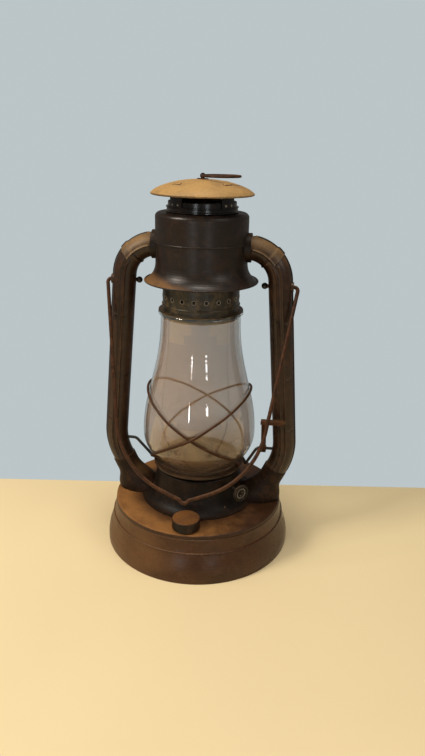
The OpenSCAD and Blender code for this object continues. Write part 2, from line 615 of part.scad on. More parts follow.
module lift_lever() color("chocolate") difference() {
  union() {
    pin_x(lever_x - lever_w / 2 - hub_side, lever_x + lever_w / 2 + hub_side, crank_r + 1.6, crank_z);
    translate([lever_x - lever_w / 2, 0, crank_z]) rotate([lever_slope, 0, 0])
      translate([0, -lever_t / 2, -lever_tail])
        cube([lever_w, lever_t, lever_tail + norm([lever_reach, lever_h]) - lever_t / 2]);
    translate([lever_x - lever_w / 2 - hub_side, thumb_back - lever_reach, crank_z + lever_h]) {
      translate([0, -thumb_d, -lever_t]) cube([thumb_l - thumb_d / 2, thumb_d, lever_t]);
      translate([thumb_l - thumb_d / 2, -thumb_d / 2, -lever_t]) cylinder(r = thumb_d / 2, h = lever_t);
      translate([0, -thumb_d, -lever_t]) cube([thumb_l - thumb_d / 2, lever_t, lever_t + 2]);
    }
  }
  pin_x(0, base_r, crank_r + run_gap, crank_z);
}

// The chimney, which stands on the globe and slides in the hood.
module turned_chimney() rotate(chimney_turn) children();
sleeve_r = chimney_r + seat_gap + sheet;
module perforated_collar() color("darkolivegreen") turned_chimney() difference() {
  union() {
    turned([[holder_r, globe_top_z - 6], [holder_r, holder_top_z - 1.5], [holder_r - 0.6, holder_top_z - 0.4],
      [holder_r - 1.6, holder_top_z], [sleeve_r + 0.5, holder_top_z], [sleeve_r, holder_top_z + 0.6],
      [sleeve_r, holder_top_z + 6]]);
    band(holder_r - sheet / 2, globe_rim_r + 1.4, globe_top_z, globe_top_z + sheet);
    bead(holder_r, vent_z - 8, bead_r);
  }
  for (k = [0:vent_n - 1]) rotate(360 * (k + 0.5) / vent_n) translate([holder_r, 0, vent_z])
    rotate([0, 90, 0]) cylinder(r = vent_r, h = 8, center = true);
}
ring_z = hood_top_z + 0.3;
neck_top_z = ring_z + neck_ring_h;
strap_r = sleeve_r + 0.5;
step_z = neck_top_z - 4.4;
module chimney_tube() color("gray") band(chimney_r - sheet, chimney_r, holder_top_z + 1, neck_top_z);
module neck_ring() color([0.15, 0.15, 0.15]) union() {
  rotate_extrude() polygon([[chimney_r + seat_gap, ring_z], [neck_ring_r - 0.6, ring_z], [neck_ring_r, ring_z + 0.6],
    [neck_ring_r, ring_z + 1.4], [neck_ring_r - 0.7, ring_z + 2], [neck_ring_r - 0.7, step_z - 1.4],
    [neck_ring_r, step_z - 0.9], [neck_ring_r, step_z - 0.3], [neck_ring_r - 0.3, step_z], [strap_r - 0.1, step_z],
    [strap_r - 0.1, neck_top_z - 0.4], [strap_r - 0.5, neck_top_z], [chimney_r + seat_gap, neck_top_z]]);
}
dome_flat = 6;
dome_curve = bez([cap_r, cap_z + 0.6], [cap_r - 3.5, cap_z + dome_h * 0.52], [cap_r * 0.45, cap_z + dome_h],
  [dome_flat, cap_z + dome_h], 14);
module chimney_cap() color("burlywood") union() {
  turned(concat(dome_curve, [[0, cap_z + dome_h]]));
  bead(cap_r - 0.9, cap_z + 0.3, bead_r * 1.3);
}
strap_top = at_z([for (p = inset(dome_curve, sheet)) [p[1], p[0]]], strap_r + 1) - 0.1;
module cap_straps() color("dimgray") turned_chimney()
  for (k = [0:1], s = [-1, 1]) rotate(180 * k - 90 + s * strap_az - strap_arc / 2)
    rotate_extrude(angle = strap_arc) translate([strap_r, step_z]) square([1, strap_top - step_z]);
apex = cap_z + dome_h;
ring_wire = ring_d / 2;
eye_z = apex + sheet + eye_r - 0.3;
module ring_eye() color("sienna") turned_chimney() difference() {
  union() {
    translate([0, 0, apex]) cylinder(r = dome_flat - 0.8, h = sheet);
    translate([0, 0, eye_z]) rotate([90, 0, 0]) cylinder(r = eye_r, h = eye_l, center = true);
  }
  translate([0, 0, eye_z]) rotate([90, 0, 0]) cylinder(r = ring_wire + run_gap * 2, h = eye_l * 2, center = true);
}
module lift_ring() color("sienna") turned_chimney() translate([ring_r, 0, 0]) bead(ring_r, eye_z, ring_wire);

// The spring that presses the chimney down on the globe.
spring_w = spring_d / 2;
spring_z0 = holder_top_z + spring_w + seat_gap;
spring_z1 = hood_top_z - sheet - spring_w - seat_gap;
spring_m = 16 * spring_n;
function spring_point(i) = let (t = i / spring_m, a = 360 * spring_n * t,
    e = 0.5 / spring_n,
    z = t < e ? 0.1 * t / e : t > 1 - e ? 1 - 0.1 * (1 - t) / e : 0.1 + 0.8 * (t - e) / (1 - 2 * e))
  [spring_r * cos(a), spring_r * sin(a), spring_z0 + (spring_z1 - spring_z0) * z];
spring_path = [for (i = [0:spring_m]) spring_point(i)];
spring_gap = min([for (i = [0:spring_m - 12], j = [i + 12:spring_m]) norm(spring_path[j] - spring_path[i])])
  - spring_d;
echo(spring_gap = spring_gap);
module chimney_spring() color("silver")
  skin([for (i = [0:spring_m]) wire_ring(spring_path, i, spring_w, 6, [0, 0, 1])]);

// The bail, bent in one plane.
head_x = tube_x(bail_z) - tube_r / cos(lean) - head_r - move_gap;
leg_turn = 90 + leg_in;
bow_turn = 180 - bow_slope - leg_turn;
notch_a = 35;
corner_x = leg_start + leg_bend * sin(leg_turn) + leg_l * cos(leg_turn)
  + bow_r * (sin(180 - bow_slope) - sin(leg_turn));
notch_h = 180 - bow_slope - notch_a;
notch_dx = -notch_r * (sin(notch_h) - sin(180 - bow_slope)) - notch_r * sin(notch_h);
bow_l = (corner_x + notch_dx) / cos(bow_slope);
bow = [for (p = bent([[leg_start - head_x, leg_bend, leg_turn], [leg_l, bow_r, bow_turn],
  [bow_l, notch_r, -notch_a], [0, notch_r, bow_slope + notch_a]], 11)) p + [head_x, 0]];
half_bail = [for (p = concat([[leg_start - 1, 0]], bow)) [p[0], p[1], 0]];
bail_path = concat(half_bail, [for (i = [len(half_bail) - 2:-1:0]) let (p = half_bail[i]) [-p[0], p[1], 0]]);
module bail() color("chocolate") translate([0, 0, bail_z]) rotate([-90 - bail_tilt, 0, 0]) union() {
  for (s = [false, true]) hand(s) {
    translate([head_x, 0, 0]) sphere(head_r);
    pin_x(head_x, leg_start, bail_r);
  }
  skin([for (i = [0:len(bail_path) - 1]) wire_ring(bail_path, i, bail_r - 0.03, 12, [0, 0, 1])]);
}

fount_skirt();
fount_floor();
fount_deck();
filler_neck();
burner_collar();
air_bell();
hand(true) tube_foot();  // left_tube_foot
hand(false) tube_foot();  // right_tube_foot
hand(true) side_tube();  // left_side_tube
hand(false) side_tube();  // right_side_tube
hand(true) top_elbow();  // left_top_elbow
hand(false) top_elbow();  // right_top_elbow
hood();
hand(true) ferrule();  // left_ferrule
hand(false) ferrule();  // right_ferrule
hand(true) bail_boss();  // left_bail_boss
hand(false) bail_boss();  // right_bail_boss
burner_body();
draft_plate();
burner_cone();
wick_tube();
wick();
wick_shaft();
star_wheels();
thumb_wheel();
filler_gasket();
filler_cap();
lift_crank();
lift_lever();
globe_plate();
globe();
hand(false) guard(0);  // left_guard
hand(true) guard(1);  // right_guard
perforated_collar();
chimney_tube();
neck_ring();
cap_straps();
chimney_cap();
ring_eye();
lift_ring();
chimney_spring();
bail();
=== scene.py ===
"""Looks of the hurricane lantern: finishes, formed sheet metal, bent wire, glass, light and camera.

Sizes are in millimetres until a shell becomes a mesh. +Z is up, the filler faces -Y and the side
tubes lie along X.
"""
import logging
import math
from dataclasses import dataclass, field, replace
from enum import Enum
from functools import reduce
from typing import Any, Callable, Sequence

import bpy
from mathutils import Matrix, Vector


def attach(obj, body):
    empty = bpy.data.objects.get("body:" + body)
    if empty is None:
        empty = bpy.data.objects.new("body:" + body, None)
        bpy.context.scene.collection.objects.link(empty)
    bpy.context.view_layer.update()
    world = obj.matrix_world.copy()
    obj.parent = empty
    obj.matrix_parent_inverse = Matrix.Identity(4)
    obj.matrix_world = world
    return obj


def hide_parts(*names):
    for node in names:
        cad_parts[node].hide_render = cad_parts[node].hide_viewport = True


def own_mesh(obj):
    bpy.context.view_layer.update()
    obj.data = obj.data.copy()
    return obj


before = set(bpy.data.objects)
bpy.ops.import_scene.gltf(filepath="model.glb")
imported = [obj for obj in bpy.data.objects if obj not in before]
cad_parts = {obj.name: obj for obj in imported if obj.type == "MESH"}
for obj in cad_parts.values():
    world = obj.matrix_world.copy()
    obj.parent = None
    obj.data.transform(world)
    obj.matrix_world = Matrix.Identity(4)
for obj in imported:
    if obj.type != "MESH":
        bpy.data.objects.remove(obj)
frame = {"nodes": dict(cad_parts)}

LOG = logging.getLogger("lantern")
MM = 0.001
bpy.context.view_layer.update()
Colour = Place = tuple[float, float, float]
Spot = Sequence[float]
Line = Sequence[Spot]
Ring = list[Vector]
Socket = bpy.types.NodeSocket


class Hand(Enum):
    """The side of the lantern that a piece is on."""
    LEFT = -1
    RIGHT = 1

    @property
    def word(self) -> str:
        """The side's name in node names."""
        return self.name.lower()


def cos(deg: float) -> float:
    """Cosine of an angle in degrees."""
    return math.cos(math.radians(deg))


def sin(deg: float) -> float:
    """Sine of an angle in degrees."""
    return math.sin(math.radians(deg))


def ease(t: float) -> float:
    """A smooth step from 0 to 1."""
    t = min(1.0, max(0.0, t))
    return t * t * (3 - 2 * t)


def bell(x: float, width: float) -> float:
    """A bell curve, 1 at 0."""
    return math.exp(-(x / width) ** 2)


def apart(t: float) -> float:
    """How far an angle is from 0 either way, up to 180."""
    return abs((t + 180) % 360 - 180)


def circle(n: int) -> list[float]:
    """The angles of n even steps round a circle."""
    return [360 * j / n for j in range(n)]


def spaced(start: float, end: float, n: int) -> list[float]:
    """The n + 1 even values from start to end."""
    return [start + (end - start) * i / n for i in range(n + 1)]


def polar(r: float, az: float, z: float) -> Vector:
    """A point by its radius, direction and height."""
    return Vector((r * cos(az), r * sin(az), z))


def spin(deg: float, axis: str) -> Matrix:
    """A turn about an axis."""
    return Matrix.Rotation(math.radians(deg), 4, axis)


def lookup(x: float, line: Line) -> float:
    """Reads a line of points.

    Args:
        x: The first number to look for.
        line: The points, in order.

    Returns:
        The second number there, or that of the last point beyond the line's ends.
    """
    for a, b in zip(line, line[1:]):
        if min(a[0], b[0]) <= x <= max(a[0], b[0]):
            return a[1] + (b[1] - a[1]) * (x - a[0]) / (b[0] - a[0])
    return line[-1][1]


def bezier(a: Spot, b: Spot, c: Spot, d: Spot, n: int) -> list[Vector]:
    """Points of a cubic curve in a plane.

    Args:
        a, b, c, d: The curve's four control points.
        n: The number of steps.

    Returns:
        n + 1 points.
    """
    a, b, c, d = (Vector(p) for p in (a, b, c, d))
    return [(1 - t) ** 3 * a + 3 * (1 - t) ** 2 * t * b + 3 * (1 - t) * t * t * c + t ** 3 * d
            for t in spaced(0.0, 1.0, n)]


@dataclass
class Shell:
    """A mesh in the making, in millimetres."""
    points: list[Vector] = field(default_factory=list)
    faces: list[list[int]] = field(default_factory=list)

    @classmethod
    def loft(cls, rings: Sequence[Ring], start: bool = True, end: bool = True) -> "Shell":
        """Lays a skin over closed rings of equal count.

        Args:
            rings: The rings, in order.
            start: Whether the first ring is closed by a face.
            end: Whether the last ring is closed by a face.

        Returns:
            The shell.
        """
        m = len(rings[0])
        shell = cls([p for ring in rings for p in ring])
        for k in range(len(rings) - 1):
            for j in range(m):
                a, b = k * m + j, k * m + (j + 1) % m
                shell.faces.append([a, b, b + m, a + m])
        if start:
            shell.faces.append(list(range(m))[::-1])
        if end:
            shell.faces.append([(len(rings) - 1) * m + j for j in range(m)])
        return shell

    @classmethod
    def turned(cls, outline: Line, sides: int = 96) -> "Shell":
        """Turns an outline of (radius, height) points about Z, open at both its ends."""
        return cls.loft([[polar(p[0], t, p[1]) for t in circle(sides)] for p in outline], False, False)

    @classmethod
    def wire(cls, path: Sequence[Vector], radius: float | Callable[[int], float], sides: int = 14) -> "Shell":
        """Sweeps a round wire along a path without twist.

        Args:
            path: The wire's middle line.
            radius: The wire's radius, or its radius at each point.
            sides: The number of sides.

        Returns:
            The closed wire.
        """
        rings, side = [], None
        for i, p in enumerate(path):
            d = (path[min(i + 1, len(path) - 1)] - path[max(i - 1, 0)]).normalized()
            if side is None:
                side = d.orthogonal()
            side = (side - d * side.dot(d)).normalized()
            other = d.cross(side)
            r = radius(i) if callable(radius) else radius
            rings.append([p + r * (cos(t) * side + sin(t) * other) for t in circle(sides)])
        return cls.loft(rings)

    @classmethod
    def dome(cls, at: Vector, axis: Vector, radius: float, height: float, sides: int = 16) -> "Shell":
        """A rivet head on a surface.

        Args:
            at: The middle of its foot.
            axis: The way it stands out.
            radius: The radius of its foot.
            height: Its height.
            sides: The number of sides.

        Returns:
            The shell.
        """
        axis = axis.normalized()
        u = axis.orthogonal().normalized()
        v = axis.cross(u)
        return cls.loft([[at + axis * (height * sin(a)) + radius * cos(a) * (cos(t) * u + sin(t) * v)
                          for t in circle(sides)] for a in range(0, 90, 15)])

    @classmethod
    def strip(cls, outline: Line, az: float, half: float, lift: float) -> "Shell":
        """A lapped seam that runs up a turned piece.

        Args:
            outline: Radius and height of the piece, from one end of the seam to the other.
            az: The seam's direction.
            half: Half of its width.
            lift: How far it stands out.

        Returns:
            The shell.
        """
        section = [(-0.2, -half), (0.6 * lift, -half), (lift, 0.6 - half)]
        section += [(out, -side) for out, side in section[::-1]]
        rings = [[Vector((p[0] + out, side, p[1])) for out, side in section] for p in outline]
        return cls.loft(rings).turn(az)

    def __add__(self, other: "Shell") -> "Shell":
        """Both shells in one."""
        n = len(self.points)
        return Shell(self.points + other.points, self.faces + [[i + n for i in f] for f in other.faces])

    def moved(self, matrix: Matrix) -> "Shell":
        """The shell under a matrix, with its faces kept outwards."""
        flip = matrix.to_3x3().determinant() < 0
        return Shell([matrix @ p for p in self.points], [f[::-1] if flip else f for f in self.faces])

    def on(self, hand: Hand) -> "Shell":
        """The shell, drawn on the right, on one side of the lantern."""
        return self.moved(Matrix.Diagonal((hand.value, 1, 1, 1)))

    def turn(self, deg: float) -> "Shell":
        """The shell turned about Z."""
        return self.moved(spin(deg, "Z"))


class Graph:
    """Short hand for the nodes of a material or a group."""

    def __init__(self, tree: bpy.types.NodeTree) -> None:
        """Works on a node tree."""
        self.tree = tree

    def node(self, kind: str, inputs: dict[Any, Any] | None = None, **settings: Any) -> bpy.types.Node:
        """Adds a node.

        Args:
            kind: The node's type, without its prefix.
            inputs: Values or sockets for its inputs.
            settings: The node's own settings.

        Returns:
            The node.
        """
        node = self.tree.nodes.new(kind if kind.startswith("NodeGroup") else "ShaderNode" + kind)
        for name, value in settings.items():
            setattr(node, name, value)
        for name, value in (inputs or {}).items():
            self.plug(node.inputs[name], value)
        return node

    def plug(self, socket: Socket, value: Any) -> None:
        """Links a socket to another, or sets its value.

        Args:
            socket: The input to fill.
            value: A socket or a plain value.
        """
        if isinstance(value, Socket):
            self.tree.links.new(value, socket)
        elif socket.type == "RGBA" and len(value) == 3:
            socket.default_value = (*value, 1.0)
        else:
            socket.default_value = value

    def math(self, how: str, *values: Any) -> Socket:
        """Works out one operation.

        Args:
            how: The operation.
            values: One value, or several that are taken from left to right.

        Returns:
            The result.
        """
        if len(values) == 1:
            return self.node("Math", {0: values[0]}, operation=how).outputs[0]
        return reduce(lambda a, b: self.node("Math", {0: a, 1: b}, operation=how).outputs[0], values)

    def mul(self, *values: Any) -> Socket:
        """The product of values."""
        return self.math("MULTIPLY", *values)

    def plus(self, *values: Any) -> Socket:
        """The sum of values."""
        return self.math("ADD", *values)

    def less(self, a: Any, b: Any) -> Socket:
        """One value less another."""
        return self.math("SUBTRACT", a, b)

    def most(self, *values: Any) -> Socket:
        """The highest of values."""
        return self.math("MAXIMUM", *values)

    def length(self, a: Socket, b: Socket) -> Socket:
        """The length of the slope over two sides."""
        return self.math("SQRT", self.plus(self.mul(a, a), self.mul(b, b)))

    def mix(self, factor: Any, a: Any, b: Any) -> Socket:
        """Mixes two colours.

        Args:
            factor: The share of the second.
            a: The first colour.
            b: The second colour.

        Returns:
            The mix.
        """
        node = self.node("Mix", data_type="RGBA", clamp_factor=True)
        for index, value in ((0, factor), (6, a), (7, b)):
            self.plug(node.inputs[index], value)
        return node.outputs[2]

    def step(self, value: Any, low: Any, high: Any, out_low: Any = 0.0, out_high: Any = 1.0) -> Socket:
        """A smooth step of a value between two limits."""
        return self.node("MapRange", {"Value": value, "From Min": low, "From Max": high, "To Min": out_low,
                                      "To Max": out_high}, interpolation_type="SMOOTHSTEP").outputs[0]

    def noise(self, vector: Any, scale: Any, detail: float = 4.0, rough: float = 0.55) -> Socket:
        """Noise over the surface, about 0 to 1."""
        return self.node("TexNoise", {"Vector": vector, "Scale": scale, "Detail": detail,
                                      "Roughness": rough}).outputs[0]

    def cells(self, vector: Any, scale: Any) -> Socket:
        """The distance to the nearest of scattered points."""
        return self.node("TexVoronoi", {"Vector": vector, "Scale": scale}).outputs["Distance"]

    def place(self, kind: str = "Object") -> Socket:
        """A place on the piece itself, in metres, or its normal there."""
        return self.node("TexCoord").outputs[kind]

    def parts(self, vector: Any) -> tuple[Socket, Socket, Socket]:
        """The three numbers of a vector."""
        return tuple(self.node("SeparateXYZ", {0: vector}).outputs)

    def radius(self, vector: Any) -> Socket:
        """The distance from the lantern's axis."""
        return self.length(*self.parts(vector)[:2])

    def bump(self, height: Any, strength: float, depth: float) -> Socket:
        """A normal from a height."""
        return self.node("Bump", {"Strength": strength, "Distance": depth, "Height": height}).outputs[0]


class Effects:
    """The node groups that the finishes share, each built once."""
    NONE = (0.0, 0.0, 0.0)
    PAINTED_LIGHT_SLOPE = -6.0
    FINE_TIMES = 7.0
    BROAD_SHARE = 0.7
    DENT_GAIN = 4.0
    FRECKLE_TIMES = 5.0
    FRECKLE_SHARE = 0.6
    ROUND_STRETCH = 0.006

    def __init__(self) -> None:
        """Builds every group."""
        self.groups = {"stain": self.stain(), "dust": self.dust(), "wear": self.wear(), "grain": self.grain(),
                       "rust": self.rust(), "spun": self.spun()}

    def start(self, name: str, outputs: Sequence[str] = ("Color", "Mask"),
              **inputs: Any) -> tuple[Graph, Any, Any]:
        """Starts a group.

        Args:
            name: The group's name.
            outputs: Each output's name; Color is a colour and the rest are values.
            inputs: Each input's value; three numbers make a colour.

        Returns:
            The group's graph, its input sockets and its output node.
        """
        kinds = {False: "NodeSocketFloat", True: "NodeSocketColor"}
        tree = bpy.data.node_groups.new(name, "ShaderNodeTree")
        for title, value in inputs.items():
            colour = isinstance(value, tuple)
            socket = tree.interface.new_socket(title, in_out="INPUT", socket_type=kinds[colour])
            socket.default_value = (*value, 1.0) if colour else value
        for title in outputs:
            tree.interface.new_socket(title, in_out="OUTPUT", socket_type=kinds[title == "Color"])
        graph = Graph(tree)
        return graph, graph.node("NodeGroupInput").outputs, graph.node("NodeGroupOutput")

    @staticmethod
    def cover(g: Graph, get: Any, put: Any, mask: Socket, over: Socket) -> bpy.types.NodeTree:
        """Ends a group that lays a colour over another.

        Args:
            g: The group's graph.
            get: Its input sockets.
            put: Its output node.
            mask: Where the colour lies.
            over: The colour.

        Returns:
            The group.
        """
        g.plug(put.inputs["Mask"], mask)
        g.plug(put.inputs["Color"], g.mix(mask, get["Color"], over))
        return g.tree

    def stain(self) -> bpy.types.NodeTree:
        """Cloudy patches of another colour, broad and fine.

        Returns:
            The group.
        """
        g, get, put = self.start("Stain", Color=self.NONE, Stain=self.NONE, Amount=0.5, Scale=30.0)
        where = g.place()
        broad = g.step(g.noise(where, get["Scale"], 5.0, 0.6), 0.38, 0.68)
        fine = g.step(g.noise(where, g.mul(get["Scale"], self.FINE_TIMES), 3.0, 0.6), 0.35, 0.7)
        cloud = g.plus(g.mul(broad, self.BROAD_SHARE), g.mul(fine, 1 - self.BROAD_SHARE))
        return self.cover(g, get, put, g.mul(cloud, get["Amount"]), get["Stain"])

    def dust(self) -> bpy.types.NodeTree:
        """Dust that lies on what faces up, plus painted light: more dust towards one side along X, so that
        side looks lit.

        Returns:
            The group.
        """
        g, get, put = self.start("Dust", Color=self.NONE, Dust=(0.4, 0.25, 0.1), Amount=0.7, Reach=0.6,
                                 Soft=0.5, Side=0.0)
        where = g.place()
        up = g.parts(g.place("Normal"))[2]
        edge = g.less(1.0, get["Reach"])
        # Painted light: a slope along X that lays more dust colour on the lit side (-X for a positive value).
        painted_light = g.mul(g.parts(where)[0], self.PAINTED_LIGHT_SLOPE, get["Side"])
        loose = g.mul(g.less(g.noise(where, 90.0, 5.0, 0.6), 0.5), get["Soft"])
        lies = g.step(g.plus(up, painted_light, loose), edge, g.plus(edge, get["Soft"]))
        speck = g.step(g.noise(where, 900.0, 2.0, 0.5), 0.3, 0.62, 0.62, 1.0)
        tone = g.mix(g.step(g.noise(where, 45.0, 4.0, 0.6), 0.4, 0.7), get["Dust"],
                     g.mix(0.45, get["Dust"], get["Color"]))
        return self.cover(g, get, put, g.mul(lies, speck, get["Amount"]), tone)

    def wear(self) -> bpy.types.NodeTree:
        """Paint rubbed off the edges; on some finishes the bright edges are also a painted highlight.

        Returns:
            The group.
        """
        g, get, put = self.start("Edge wear and highlight", Color=self.NONE, Bare=(0.3, 0.2, 0.1), Amount=0.6, Width=0.0008)
        soft = g.node("Bevel", {"Radius": get["Width"]}, samples=4).outputs[0]
        flat = g.node("NewGeometry").outputs["Normal"]
        dot = g.node("VectorMath", {0: soft, 1: flat}, operation="DOT_PRODUCT").outputs["Value"]
        edge = g.step(g.less(1.0, dot), 0.015, 0.16)
        broken = g.step(g.noise(g.place(), 260.0, 4.0, 0.65), 0.36, 0.58)
        return self.cover(g, get, put, g.mul(edge, broken, get["Amount"]), get["Bare"])

    def grain(self) -> bpy.types.NodeTree:
        """Height of the fine texture and the soft dents of old sheet metal.

        Returns:
            The group.
        """
        g, get, put = self.start("Grain", ("Height",), Fine=1400.0, Dents=55.0, Share=0.5)
        where = g.place()
        fine = g.mul(g.noise(where, get["Fine"], 3.0, 0.6), g.less(1.0, get["Share"]))
        dents = g.mul(g.noise(where, get["Dents"], 2.0, 0.4), g.mul(get["Share"], self.DENT_GAIN))
        g.plug(put.inputs["Height"], g.plus(fine, dents))
        return g.tree

    def rust(self) -> bpy.types.NodeTree:
        """Rusty spots and freckles.

        Returns:
            The group.
        """
        g, get, put = self.start("Rust", Color=self.NONE, Rust=(0.2, 0.08, 0.03), Amount=0.5, Scale=160.0)
        where = g.place()
        patch = g.step(g.noise(where, get["Scale"], 6.0, 0.7), 0.47, 0.62)
        freckle = g.step(g.cells(where, g.mul(get["Scale"], self.FRECKLE_TIMES)), 0.1, 0.34, 1.0, 0.0)
        mask = g.mul(g.most(patch, g.mul(freckle, self.FRECKLE_SHARE)), get["Amount"])
        return self.cover(g, get, put, mask, get["Rust"])

    def spun(self) -> bpy.types.NodeTree:
        """Faint marks round a turned piece, from its spinning and wiping.

        Returns:
            The group.
        """
        g, get, put = self.start("Spun marks", ("Mask", "Height"), Scale=500.0)
        where = g.place()
        x, y, z = g.parts(where)
        round_it = g.mul(g.math("ARCTAN2", y, x), self.ROUND_STRETCH)
        flat = g.node("CombineXYZ", {0: round_it, 1: g.radius(where), 2: z}).outputs[0]
        marks = g.noise(flat, get["Scale"], 4.0, 0.6)
        g.plug(put.inputs["Mask"], g.step(marks, 0.35, 0.68))
        g.plug(put.inputs["Height"], marks)
        return g.tree

    def use(self, graph: Graph, name: str, **inputs: Any) -> Any:
        """Places a group in a material.

        Args:
            graph: The material's graph.
            name: The group.
            inputs: Values or sockets for the group's inputs.

        Returns:
            The group's outputs.
        """
        node = graph.node("Group")
        node.node_tree = self.groups[name]
        for key, value in inputs.items():
            graph.plug(node.inputs[key], value)
        return node.outputs


def new_material(name: str) -> tuple[bpy.types.Material, Graph, Any]:
    """Starts a material.

    Args:
        name: The finish's name.

    Returns:
        The material, its graph and its shader's inputs.
    """
    material = bpy.data.materials.new(name)
    material.use_nodes = True
    return material, Graph(material.node_tree), material.node_tree.nodes["Principled BSDF"].inputs


@dataclass(frozen=True)
class MetalFinish:
    """Old metal under stains, rust and dust, rubbed bare at its edges, with painted light on some finishes:
    dust shifted to the lit side, painted shade round the air bell and bright edges that are partly a painted
    highlight.
    """
    FADE = 0.016
    SHAKE = 0.012
    SHAKE_SCALE = 40.0
    ARCH_EDGE = (-0.0006, 0.0008)
    ARCH_RISE = 0.45
    SIDE_SHARE = 0.55
    INNER_DUST = 0.12
    SPUN_SCALE = 520.0
    SPUN_ROUGH = 0.12
    name: str
    base: Colour
    stain: Colour
    bare: Colour | None = None
    dust: Colour = (0.30, 0.17, 0.065)
    rust: Colour = (0.11, 0.045, 0.02)
    stain_amount: float = 0.8
    stain_scale: float = 28.0
    rust_amount: float = 0.35
    rust_scale: float = 110.0
    wear: float = 0.5
    wear_width: float = 0.0009
    dust_amount: float = 0.6
    dust_reach: float = 0.55
    dust_soft: float = 0.5
    # Painted light: how far the dust shifts towards -X (+X if negative), standing in for light from that
    # side.
    painted_light_side: float = 0.0
    dust_below: float = 0.0
    # Painted shade: the radii over which dust fades in away from the axis, darkening the deck round the air
    # bell.
    painted_shade_ring: tuple[float, float] | None = None
    arch: tuple[float, float, float] | None = None
    metal: float = 0.0
    dulled: float = 0.0
    rough: float = 0.42
    rough_by: tuple[float, float, float] = (-0.1, 0.16, 0.38)
    coat: float = 0.12
    coat_rough: float = 0.28
    shine: float = 0.5
    grain: tuple[float, float, float] = (1500.0, 48.0, 0.45)
    bump: float = 0.12
    bump_depth: float = 0.0006
    spun: float = 0.0

    def dust_cover(self, g: Graph) -> Any:
        """Lays the dust evenly, below a height, away from the axis (leaving painted shade round the air bell)
        or outside an arch.

        Args:
            g: The material's graph.

        Returns:
            The amount of dust, or a socket that gives it.
        """
        amount = self.dust_amount
        if self.dust_below:
            return g.step(g.parts(g.place())[2], self.dust_below - self.FADE, self.dust_below, amount, 0.0)
        if self.painted_shade_ring:
            # Painted shade: no dust near the axis, so the deck round the air bell stays dark.
            where = g.place()
            shaky = g.plus(g.radius(where), g.mul(g.noise(where, self.SHAKE_SCALE), self.SHAKE))
            return g.step(shaky, *self.painted_shade_ring, 0.0, amount)
        if self.arch:
            x, _, z = g.parts(g.place())
            across, height, r = self.arch
            over = g.less(z, height)
            far = g.length(g.less(g.math("ABSOLUTE", x), across), over)
            top = g.step(over, self.ARCH_RISE * r, r, self.SIDE_SHARE * amount, amount)
            return g.step(far, *(r + edge for edge in self.ARCH_EDGE), self.INNER_DUST, top)
        return amount

    def build(self, effects: Effects) -> bpy.types.Material:
        """Makes the material from the shared effects.

        Args:
            effects: The shared effects.

        Returns:
            The material.
        """
        material, g, shader = new_material(self.name)
        stain = effects.use(g, "stain", Color=self.base, Stain=self.stain, Amount=self.stain_amount,
                            Scale=self.stain_scale)
        rust = effects.use(g, "rust", Color=stain["Color"], Rust=self.rust, Amount=self.rust_amount,
                           Scale=self.rust_scale)
        metal = rust
        if self.bare:
            metal = effects.use(g, "wear", Color=rust["Color"], Bare=self.bare, Amount=self.wear,
                                Width=self.wear_width)
        # The dust layer also carries the painted light on one side.
        dust = effects.use(g, "dust", Color=metal["Color"], Dust=self.dust, Amount=self.dust_cover(g),
                           Reach=self.dust_reach, Soft=self.dust_soft, Side=self.painted_light_side)
        fine, dents, share = self.grain
        height = effects.use(g, "grain", Fine=fine, Dents=dents, Share=share)["Height"]
        rough = g.plus(self.rough, *(g.mul(layer["Mask"], share)
                                     for layer, share in zip((stain, rust, dust), self.rough_by) if share))
        if self.spun:
            spun = effects.use(g, "spun", Scale=self.SPUN_SCALE)
            rough = g.plus(rough, g.mul(spun["Mask"], self.SPUN_ROUGH))
            height = g.plus(height, g.mul(spun["Height"], self.spun))
        g.plug(shader["Base Color"], dust["Color"])
        g.plug(shader["Roughness"], rough)
        if self.metal:
            g.plug(shader["Metallic"], g.mul(self.metal, g.less(1.0, rust["Mask"]),
                                             g.less(1.0, g.mul(dust["Mask"], self.dulled))))
        if self.coat:
            g.plug(shader["Coat Weight"], g.mul(g.less(1.0, dust["Mask"]), self.coat))
            g.plug(shader["Coat Roughness"], self.coat_rough)
        g.plug(shader["Specular IOR Level"], self.shine)
        g.plug(shader["Normal"], g.bump(height, self.bump, self.bump_depth))
        return material


@dataclass(frozen=True)
class GlassFinish:
    """Clear blown glass with soft waves in its thickness."""
    name: str
    tint: Colour = (0.965, 0.975, 0.965)
    shade: Colour = (0.93, 0.94, 0.92)
    ior: float = 1.46
    rough: tuple[float, float] = (0.02, 0.09)

    def build(self, effects: Effects) -> bpy.types.Material:
        """Makes the material; light for shadows passes straight through.

        Args:
            effects: The shared effects; not used.

        Returns:
            The material.
        """
        material, g, shader = new_material(self.name)
        where = g.place()
        for name, value in (("Base Color", self.tint), ("Transmission Weight", 1.0), ("IOR", self.ior)):
            g.plug(shader[name], value)
        g.plug(shader["Roughness"], g.step(g.noise(where, 60.0, 4.0, 0.6), 0.5, 0.8, *self.rough))
        g.plug(shader["Normal"], g.bump(g.noise(where, 26.0, 2.0, 0.4), 0.05, 0.002))
        both = g.node("MixShader", {0: g.node("LightPath").outputs["Is Shadow Ray"],
                                    1: g.tree.nodes["Principled BSDF"].outputs[0],
                                    2: g.node("BsdfTransparent", {"Color": self.shade}).outputs[0]})
        g.plug(g.tree.nodes["Material Output"].inputs["Surface"], both.outputs[0])
        return material


